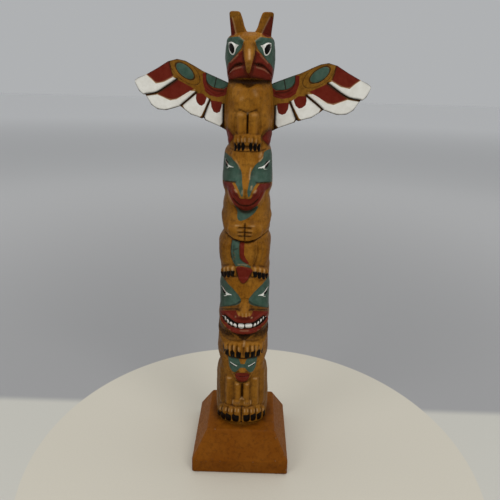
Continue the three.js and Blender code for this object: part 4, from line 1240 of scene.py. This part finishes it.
# Painted shade round the sides of the front, deeper on the left, where they turn from the light; and darker
# towards the bottom, on the lowest figure.
sideShade = {
    "right": (0.32, 9, 12),  # strength, where it starts round the pole and over how far it deepens
    "left": (0.5, 5, 13),
    "leftHigh": (0.34, 215),  # strength on the left above a level
    "low": (0.12, 80, 8),
}


def darkenSides(coats, settings):
    strength, start, over = settings["right"]
    right = strength * ease((coats["x"] - start) / over)
    strength, start, over = settings["left"]
    highStrength, highLevel = settings["leftHigh"]
    left = np.where(coats["level"] < highLevel, strength, highStrength) * ease((-start - coats["x"]) / over)
    strength, start, over = settings["low"]
    low = strength * ease((start - coats["level"]) / over)
    coats["shade"] = np.maximum(coats["shade"], right + left + low)


# How far each place lies behind the surface round it, from a blurred copy of the carving
hollowSettings = {"step": 0.4, "reach": 9, "blur": 3.0}  # blur and its reach in steps


def hollowMap(settings):
    step, reach = hollowSettings["step"], hollowSettings["reach"]
    columns = np.arange(0, round(lap / step))
    levels = np.arange(drawing["foot"] - 2, settings["crownFoot"] + 1, step)
    x, level = np.meshgrid(columns * (lap / len(columns)) - lap / 2, levels)
    radius = radiusAt(x, level)
    span = np.arange(-reach, reach + 1)
    weights = np.exp(-0.5 * (span / hollowSettings["blur"]) ** 2)
    weights /= weights.sum()
    spread = sum(w * np.roll(radius, s, axis=1) for s, w in zip(span, weights))
    padded = np.pad(spread, [(reach, reach), (0, 0)], mode="edge")
    spread = sum(w * padded[reach + s:reach + s + len(levels)] for s, w in zip(span, weights))
    return levels, spread - radius


def readHollow(known, x, level):
    levels, values = known
    rows, columns = values.shape
    u = (x / lap + 0.5) * columns
    v = np.clip((level - levels[0]) / (levels[1] - levels[0]), 0, rows - 1.001)
    i, j = np.floor(u).astype(int), np.floor(v).astype(int)
    fu, fv = u - i, v - j
    i, beside = i % columns, (i + 1) % columns
    low = values[j, i] * (1 - fu) + values[j, beside] * fu
    high = values[j + 1, i] * (1 - fu) + values[j + 1, beside] * fu
    return low * (1 - fv) + high * fv


def finishPole():
    points = verticesOf(pole.data)
    x = np.arctan2(points[:, 0], -points[:, 1]) * drawing["round"]
    level = levelAt(points[:, 2])
    coats = newCoats(x, level)
    paintSquattingFigure(coats)
    paintGrinningBeast(coats)
    paintBear(coats)
    paintEagle(coats)
    paintTufts(coats, points, tuftSettings)
    darkenSides(coats, sideShade)
    for name in coatNames + ["dark"] + softNames:
        keepValues(pole.data, name, coats[name])
    crown = level > poleSettings["crownFoot"]
    # How deep each place lies; the materials darken the hollows with it, partly as painted shade.
    keepValues(pole.data, "hollow", np.where(crown, 0, readHollow(hollowMap(poleSettings), x, level)))
    smoothShading(pole.data, 62)


finishPole()
print("pole painted")

# Wing paint, as outlines of distance from the axis and level
wingPaint = [
    ("red", [(26.9, 252.8), (24.8, 253), (25, 248.6), (23.4, 246.6), (20.7, 244.9), (15, 244.4), (13, 246.4),
             (9, 246), (9, 242), (12.6, 242.4), (14.8, 240.8), (18.7, 240), (23, 241), (25.5, 243),
             (26.9, 248)]),
    ("green", [(24.9, 253.2), (11.4, 247.9), (12.4, 246.3), (14.9, 244.6), (20.7, 245.1), (23.5, 246.8),
               (25, 249)]),
    ("white", [(66.4, 250.6), (64.9, 250.2), (60.3, 251.4), (56.9, 248.9), (54.3, 246.5), (49.3, 247.4),
               (43.9, 250.2), (41.6, 249.3), (49.2, 244.7), (54.1, 242), (58.8, 240.7), (61.5, 241),
               (62.4, 239.6), (66, 240.6), (69, 247)]),
    ("red", [(60.3, 251.6), (46, 259.6), (45.1, 254.8), (43.7, 250.4), (49.3, 247.6), (54.2, 246.6),
             (57, 249.2)]),
    ("white", [(60.6, 239.6), (53.4, 240.6), (45.8, 237.5), (41.9, 238.4), (34.1, 243.1), (31, 242.9),
               (39.9, 235.3), (42, 232.6), (45.1, 231.4), (51.7, 230.6), (57.5, 233), (60.6, 238)]),
    ("red", [(54, 240.7), (41.2, 248.9), (32, 244.3), (37.8, 240.9), (42.2, 238.2), (45.8, 237.7)]),
    ("white", [(30.7, 241.5), (38.5, 235), (36.4, 230.8), (30.3, 227.6), (27.8, 229.6), (25.6, 234),
               (23.3, 238.8), (26, 240.6)]),
    ("red", [(30.6, 241.9), (31, 239.4), (30.5, 237), (29, 235.4), (27.4, 235), (25.8, 236.4), (24.6, 239.6),
             (27, 241.8)]),
    ("white", [(22.3, 237.8), (26.2, 230.2), (25.8, 226), (16.7, 222), (15.1, 226.6), (14.8, 236)]),
    ("red", [(22.4, 238.2), (22, 234.6), (20.8, 232), (18.8, 231.2), (17, 232), (16.1, 234.6),
             (15.8, 237.4)]),
]
# darker strokes painted along the feathers
wingStrokes = [
    [(46, 259), (45.2, 255), (44, 251.4)], [(41.4, 248.4), (46.6, 245), (52.6, 241.8)],
    [(15, 243.4), (19.6, 243.4), (23.4, 245.4), (24.8, 248.6)],
]


def paintWing(wing, side, settings):
    points = verticesOf(wing.data)
    x, level = drawnAt(side, side * points[:, 0] / mm, settings), levelAt(points[:, 2])
    coats = newCoats(x, level)
    for colour, outline in wingPaint:
        layArea(coats, colour, outline, soft=False)
    for line in wingStrokes:
        laySoft(coats, "shade", line, 0.5, 0.7)
    # Painted highlights along the red feathers' edges.
    for line in ([(43.8, 250.5), (49.3, 247.5), (54.3, 246.6), (57, 249.1), (60.3, 251.5)],
                 [(31.6, 243.6), (38, 240), (42, 238.4), (45.8, 237.6), (53.6, 240.7)]):
        laySoft(coats, "paintedHighlight", line, 0.35, 0.6)
    centre, half, turn = settings["oval"]
    share = ovalShare(centre, half, turn, x, level)
    whole = np.ones(len(x), bool)
    lay(coats, "bare", (settings["ovalRing"] - share) * half[1] * 1.2, whole)
    lay(coats, "green", (1 - share) * half[1], whole)
    lay(coats, "dark", 0.22 - np.abs(share - 1.07) * half[1], whole)
    lay(coats, "dark", 0.12 - np.abs(share - settings["ovalRing"]) * half[1] * 1.2, whole)

    layLine(coats, "dark", [(19.1, 250.6), (20.3, 245.2)], 0.3)
    layLine(coats, "dark", [(11.6, 247.8), (14.9, 244.6), (20.7, 245.1), (23.5, 246.8), (25, 249),
                            (24.9, 253)], 0.2)
    # Painted shade along the grooves and the board's top and foot, and in the notches of its foot.
    for line in settings["grooves"]:
        layLine(coats, "dark", line, 0.4)
        laySoft(coats, "shade", line, 0.9, 0.8)
    for outline in (settings["foot"], settings["top"]):
        layLine(coats, "dark", outline, 0.2)
        laySoft(coats, "shade", outline, 0.6, 0.6)
    for foot in ([(24.8, 226), (26.6, 231), (28.6, 227)], [(12.6, 221.2), (15.1, 226.4), (17.9, 223)]):
        layArea(coats, "bare", foot, soft=False)
        laySoftArea(coats, "shade", foot, 0.3, 0.8)
    behind = points[:, 1] / mm - 0.8
    for name in coatNames + ["dark"]:
        keepValues(wing.data, name, np.minimum(coats[name], -behind))
    for name in softNames:
        keepValues(wing.data, name, np.where(behind > 0, 0, coats[name]))
    # The grooves' depth, which the material darkens partly as painted shade.
    cuts = [ease(1 - lineDistance(line, x, level) / 1.4) for line in settings["grooves"]]
    keepValues(wing.data, "hollow", 0.4 * np.max(cuts, axis=0))
    smoothShading(wing.data, 50)


for wing, side in ((leftWing, -1), (rightWing, 1)):
    paintWing(wing, side, wingSettings)
print("wings painted")

# Plinth
plinthSettings = {
    "width": (plinthHigh.x - plinthLow.x) / mm,
    "height": (plinthHigh.z - plinthLow.z) / mm,
    "band": 9.6,
    "platform": 45.2,
    "arris": 1.0,
    "sidePoints": 64,
    "cornerPoints": 7,
    "uneven": [(9.0, 0.10, 31), (2.6, 0.04, 32)],
    "footShade": (19, 1.6, 0.6),  # radius of the pole's foot, width and strength of the shade round it
}


def roundedSquare(half, corner, sidePoints, cornerPoints):
    ringPoints = []
    for quarter in range(4):
        cx, cy = [(1, 1), (-1, 1), (-1, -1), (1, -1)][quarter]
        for step in range(cornerPoints):
            angle = (quarter + step / (cornerPoints - 1)) * pi / 2
            x, y = cx * (half - corner) + corner * cos(angle), cy * (half - corner) + corner * sin(angle)
            ringPoints.append((x, y))
        dx, dy = [(-1, 0), (0, -1), (1, 0), (0, 1)][quarter]
        ax, ay = ringPoints[-1]
        length = 2 * (half - corner)
        for step in range(1, sidePoints):
            ringPoints.append((ax + dx * length * step / sidePoints, ay + dy * length * step / sidePoints))
    return ringPoints


def plinthProfile(settings):
    wide, narrow = settings["width"] / 2, settings["platform"] / 2
    band, high, a = settings["band"], settings["height"], settings["arris"]
    slope = (wide - narrow) / (high - band)
    rows = [(1.5, 0.0), (wide * 0.4, 0.0), (wide * 0.8, 0.0)]
    rows += [(wide - a + a * sin(t), a - a * cos(t)) for t in np.linspace(0, pi / 2, 5)]
    rows += [(wide, level) for level in np.linspace(a, band - 0.5 * a, 18)[1:]]
    rows += [(wide - slope * (level - band) if level > band else wide - 0.04, level)
             for level in (band - 0.2 * a, band + 0.25 * a, band + 0.6 * a)]
    rows += [(wide - slope * (level - band), level) for level in np.linspace(band + a, high - a, 40)]
    rows += [(narrow + a * slope * 0.3, high - 0.45 * a), (narrow - a * 0.1, high - 0.15 * a),
             (narrow - a * 0.6, high)]
    rows += [(narrow * share, high) for share in (0.93, 0.86, 0.7, 0.5, 0.25, 0.06)]
    return rows


def makePlinth(settings):
    rings = []
    for half, level in plinthProfile(settings):
        corner = min(1.4 * settings["arris"], half * 0.4)
        ring2d = roundedSquare(half, corner, settings["sidePoints"], settings["cornerPoints"])
        rings.append([(x, y, level) for x, y in ring2d])
    rings = np.array(rings)
    x, y, level = rings[..., 0], rings[..., 1], rings[..., 2]
    wobble = sum(depth * softNoise(x + 31 * np.sign(y), level + 0.7 * y + 60, size, seed)
                 for size, depth, seed in settings["uneven"])
    away = np.maximum(np.abs(x), np.abs(y))
    sides = ease((level - 0.2) / 0.8) * ease((away - settings["platform"] / 2 + 1) / 2)
    rings[..., :2] *= (1 - np.abs(wobble) * sides / settings["width"] * 2)[..., None]
    rings *= mm
    rings[..., 2] += plinthLow.z
    plinth = closedSkin("plinth_block", rings)
    points = verticesOf(plinth.data) / mm
    hip = np.abs(np.abs(points[:, 0]) - np.abs(points[:, 1])) / np.sqrt(2)
    outer = np.maximum(np.abs(points[:, 0]), np.abs(points[:, 1]))
    near = np.exp(-(hip / 0.9) ** 2) * (outer > settings["platform"] / 2 - 2)
    for level, width in ((settings["band"], 1.0), (settings["height"], 1.2), (0, 1.0)):
        edge = np.exp(-((points[:, 2] - level) / width) ** 2)
        near = np.maximum(near, edge * (outer > settings["platform"] / 2 - 1.2))
    keepValues(plinth.data, "edge", near)
    # Painted shadow on the platform round the pole's foot, kept in the hollow layer so that the stain darkens
    # it.
    footRadius, width, strength = settings["footShade"]
    standing = np.hypot(points[:, 0], points[:, 1]) - footRadius
    shade = np.exp(-(np.clip(standing, 0, None) / width) ** 2) * (points[:, 2] > settings["height"] - 1)
    keepValues(plinth.data, "hollow", shade * strength)
    smoothShading(plinth.data, 50)
    return plinth


plinth = makePlinth(plinthSettings)
print("plinth cast:", len(plinth.data.vertices), "points")


# Shared effects
def makeStainGroup():
    tree, taken, given = newGroup("mottled_stain", [
        ("Place", "Vector", (0, 0, 0)), ("Light", "Color", rgb(0.4, 0.2, 0.05)),
        ("Body", "Color", rgb(0.3, 0.13, 0.03)), ("Deep", "Color", rgb(0.08, 0.03, 0.01)),
        ("Hollow", "Float", 0.0), ("Cloud Size", "Float", 90.0), ("Streaks", "Float", 0.35),
    ], [("Color", "Color"), ("Depth", "Float")])
    clouds = ramp(tree, noise(tree, taken["Place"], taken["Cloud Size"], 4.0, 0.6), 0.34, 0.68)
    stretch = addNode(tree, "Mapping", {"Vector": taken["Place"], "Scale": (1.0, 1.0, 0.12)}).outputs[0]
    streaks = ramp(tree, noise(tree, stretch, 1400.0, 3.0, 0.6), 0.35, 0.72)
    blots = ramp(tree, noise(tree, taken["Place"], 420.0, 4.0, 0.62), 0.47, 0.66)
    speckle = ramp(tree, noise(tree, taken["Place"], 2200.0, 3.0, 0.7), 0.42, 0.74)
    colour = blend(tree, clouds, taken["Body"], taken["Light"])
    streaked = calc(tree, "MULTIPLY", streaks, taken["Streaks"])
    colour = blend(tree, streaked, colour, taken["Deep"])
    colour = blend(tree, calc(tree, "MULTIPLY", blots, 0.34), colour, taken["Deep"])
    colour = blend(tree, calc(tree, "MULTIPLY", speckle, 0.22), colour, taken["Deep"])
    # Darker in the hollows: partly stain gathered there, partly painted shade. Lighter on the raised parts.
    sunk = ramp(tree, taken["Hollow"], 0.04, 0.7)
    raised = ramp(tree, taken["Hollow"], -0.06, -0.5)
    colour = blend(tree, calc(tree, "MULTIPLY", raised, 0.5), colour, taken["Light"])
    colour = blend(tree, calc(tree, "MULTIPLY", sunk, 0.62), colour, taken["Deep"])
    tree.links.new(colour, given["Color"])
    tree.links.new(sunk, given["Depth"])
    return tree


def makeCoatGroup():
    tree, taken, given = newGroup("brushed_coat", [
        ("Place", "Vector", (0, 0, 0)), ("Field", "Float", -1.0), ("Under", "Color", rgb(0.3, 0.13, 0.03)),
        ("Paint", "Color", rgb(0.1, 0.1, 0.1)), ("Worn Paint", "Color", rgb(0.2, 0.2, 0.2)),
        ("Wobble", "Float", 0.2), ("Wear", "Float", 0.3), ("Ridge", "Float", 0.0),
    ], [("Color", "Color"), ("Mask", "Float")])
    wander = calc(tree, "SUBTRACT", noise(tree, taken["Place"], 700.0, 2.0), 0.5)
    field = calc(tree, "ADD", taken["Field"], calc(tree, "MULTIPLY", wander, taken["Wobble"]))
    mask = ramp(tree, field, -0.11, 0.11)
    patches = ramp(tree, noise(tree, taken["Place"], 1500.0, 4.0, 0.65), 0.56, 0.72)
    rubbed = calc(tree, "MULTIPLY", calc(tree, "MULTIPLY", patches, taken["Wear"]), taken["Ridge"], True)
    tone = ramp(tree, noise(tree, taken["Place"], 260.0, 3.0, 0.6), 0.3, 0.72)
    paint = blend(tree, calc(tree, "MULTIPLY", tone, 0.55), taken["Paint"], taken["Worn Paint"])
    shown = calc(tree, "MULTIPLY", mask, calc(tree, "SUBTRACT", 1.0, rubbed), True)
    tree.links.new(blend(tree, shown, taken["Under"], paint), given["Color"])
    tree.links.new(mask, given["Mask"])
    return tree


def makeGrainGroup():
    tree, taken, given = newGroup("cast_grain", [
        ("Place", "Vector", (0, 0, 0)), ("Fine", "Float", 0.4), ("Pits", "Float", 0.3),
    ], [("Height", "Float"), ("Gloss", "Float")])
    fine = calc(tree, "MULTIPLY", noise(tree, taken["Place"], 3800.0, 3.0, 0.7), taken["Fine"])
    broad = noise(tree, taken["Place"], 600.0, 3.0, 0.55)
    pit = addNode(tree, "TexVoronoi", {"Vector": taken["Place"], "Scale": 850.0}).outputs["Distance"]
    hole = calc(tree, "MULTIPLY", ramp(tree, pit, 0.16, 0.04), taken["Pits"])
    height = calc(tree, "SUBTRACT", calc(tree, "ADD", fine, calc(tree, "MULTIPLY", broad, 0.8)), hole)
    tree.links.new(height, given["Height"])
    tree.links.new(ramp(tree, broad, 0.3, 0.7), given["Gloss"])
    return tree


def makeChipGroup():
    tree, taken, given = newGroup("edge_chips", [
        ("Place", "Vector", (0, 0, 0)), ("Edge", "Float", 0.0), ("Amount", "Float", 0.5),
    ], [("Mask", "Float")])
    nicks = ramp(tree, noise(tree, taken["Place"], 420.0, 5.0, 0.7), 0.63, 0.70)
    specks = ramp(tree, noise(tree, taken["Place"], 1900.0, 3.0, 0.6), 0.70, 0.74)
    edgeNicks = calc(tree, "MULTIPLY", nicks, taken["Edge"])
    both = calc(tree, "ADD", edgeNicks, calc(tree, "MULTIPLY", specks, 0.35))
    tree.links.new(calc(tree, "MULTIPLY", both, taken["Amount"], True), given["Mask"])
    return tree


stainGroup = makeStainGroup()
coatGroup = makeCoatGroup()
grainGroup = makeGrainGroup()
chipGroup = makeChipGroup()

paintColours = {
    "red": {"paint": rgb(0.118, 0.011, 0.005), "worn": rgb(0.17, 0.024, 0.013), "wear": 0.35},
    "green": {"paint": rgb(0.036, 0.076, 0.054), "worn": rgb(0.084, 0.138, 0.108), "wear": 0.35},
    "white": {"paint": rgb(0.82, 0.81, 0.76), "worn": rgb(0.68, 0.66, 0.60), "wear": 0.05},
    "black": {"paint": rgb(0.0015, 0.0012, 0.001), "worn": rgb(0.004, 0.003, 0.003), "wear": 0.15},
}
resinShine = 0.06
resinFinishes = {
    "pole_resin": {
        "light": rgb(0.335, 0.142, 0.016), "body": rgb(0.238, 0.090, 0.006), "deep": rgb(0.036, 0.011, 0.002),
        "cloud": 95.0, "streaks": 0.22, "roughness": (0.34, 0.5), "bump": 0.22, "pits": 0.1,
    },
    "wing_resin": {
        "light": rgb(0.28, 0.130, 0.016), "body": rgb(0.20, 0.084, 0.007), "deep": rgb(0.034, 0.012, 0.003),
        "cloud": 120.0, "streaks": 0.2, "roughness": (0.40, 0.55), "bump": 0.2, "pits": 0.1,
    },
    "plinth_resin": {
        "light": rgb(0.205, 0.064, 0.004), "body": rgb(0.172, 0.049, 0.002), "deep": rgb(0.05, 0.014, 0.001),
        "cloud": 60.0, "streaks": 0.10, "roughness": (0.42, 0.6), "bump": 0.3, "pits": 0.5,
    },
}


def resinMaterial(name, finish, painted):
    material = bpy.data.materials.new(name)
    material.use_nodes = True
    tree = material.node_tree
    shader = tree.nodes["Principled BSDF"]
    place = addNode(tree, "TexCoord").outputs["Object"]
    hollow = attribute(tree, "hollow")
    stain = useGroup(tree, stainGroup, {
        "Place": place, "Light": finish["light"], "Body": finish["body"], "Deep": finish["deep"],
        "Hollow": hollow, "Cloud Size": finish["cloud"], "Streaks": finish["streaks"],
    })
    colour = stain["Color"]
    if painted:
        ridge = ramp(tree, hollow, 0.0, -0.35, 0.25, 1.0)
        for coat, look in paintColours.items():
            colour = useGroup(tree, coatGroup, {
                "Place": place, "Field": attribute(tree, coat), "Under": colour, "Paint": look["paint"],
                "Worn Paint": look["worn"], "Wear": look["wear"], "Ridge": ridge,
            })["Color"]
        wander = ramp(tree, noise(tree, place, 900.0, 2.0), 0.2, 0.8, 0.75, 1.3)
        # Painted shade: the paint is darkened in the carving's hollows as well.
        shaded = calc(tree, "MULTIPLY", stain["Depth"], 0.4)
        colour = blend(tree, shaded, colour, finish["deep"])
        line = useGroup(tree, coatGroup, {
            "Place": place, "Field": attribute(tree, "dark"), "Under": colour,
            "Paint": rgb(0.014, 0.006, 0.003), "Worn Paint": rgb(0.03, 0.012, 0.006), "Wear": 0.0,
            "Wobble": 0.3,
        })
        colour = blend(tree, 0.85, colour, line["Color"])
        # Painted shade, darkening the colour towards a near-black brown.
        shade = calc(tree, "MULTIPLY", attribute(tree, "shade"), wander, True)
        colour = blend(tree, calc(tree, "MULTIPLY", shade, 0.92), colour, rgb(0.016, 0.005, 0.001))
        # Painted highlights, lightening the colour towards a pale tan.
        paintedHighlight = calc(tree, "MULTIPLY", attribute(tree, "paintedHighlight"), wander, True)
        colour = blend(tree, calc(tree, "MULTIPLY", paintedHighlight, 0.56), colour, rgb(0.74, 0.50, 0.27))
    else:
        chips = useGroup(tree, chipGroup, {"Place": place, "Edge": attribute(tree, "edge"), "Amount": 0.7})
        colour = blend(tree, chips["Mask"], colour, rgb(0.45, 0.34, 0.24))
    grain = useGroup(tree, grainGroup, {"Place": place, "Fine": 0.35, "Pits": finish["pits"]})
    bump = addNode(tree, "Bump", {"Height": grain["Height"], "Strength": finish["bump"], "Distance": 0.0002})
    tree.links.new(colour, shader.inputs["Base Color"])
    tree.links.new(ramp(tree, grain["Gloss"], 0.0, 1.0, *finish["roughness"]), shader.inputs["Roughness"])
    tree.links.new(bump.outputs["Normal"], shader.inputs["Normal"])
    shader.inputs["Specular IOR Level"].default_value = resinShine
    return material


pieces = [
    (pole, "pole", "pole_resin", True),
    (leftWing, "left_wing", "wing_resin", True),
    (rightWing, "right_wing", "wing_resin", True),
    (plinth, "plinth", "plinth_resin", False),
]
materials = {slot: resinMaterial(slot, finish, slot != "plinth_resin") for slot,
             finish in resinFinishes.items()}
for piece, node, slot, painted in pieces:
    piece.data.materials.clear()
    piece.data.materials.append(materials[slot])
    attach(piece, "root")
    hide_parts(node)
print("finishes given to", len(pieces), "pieces")
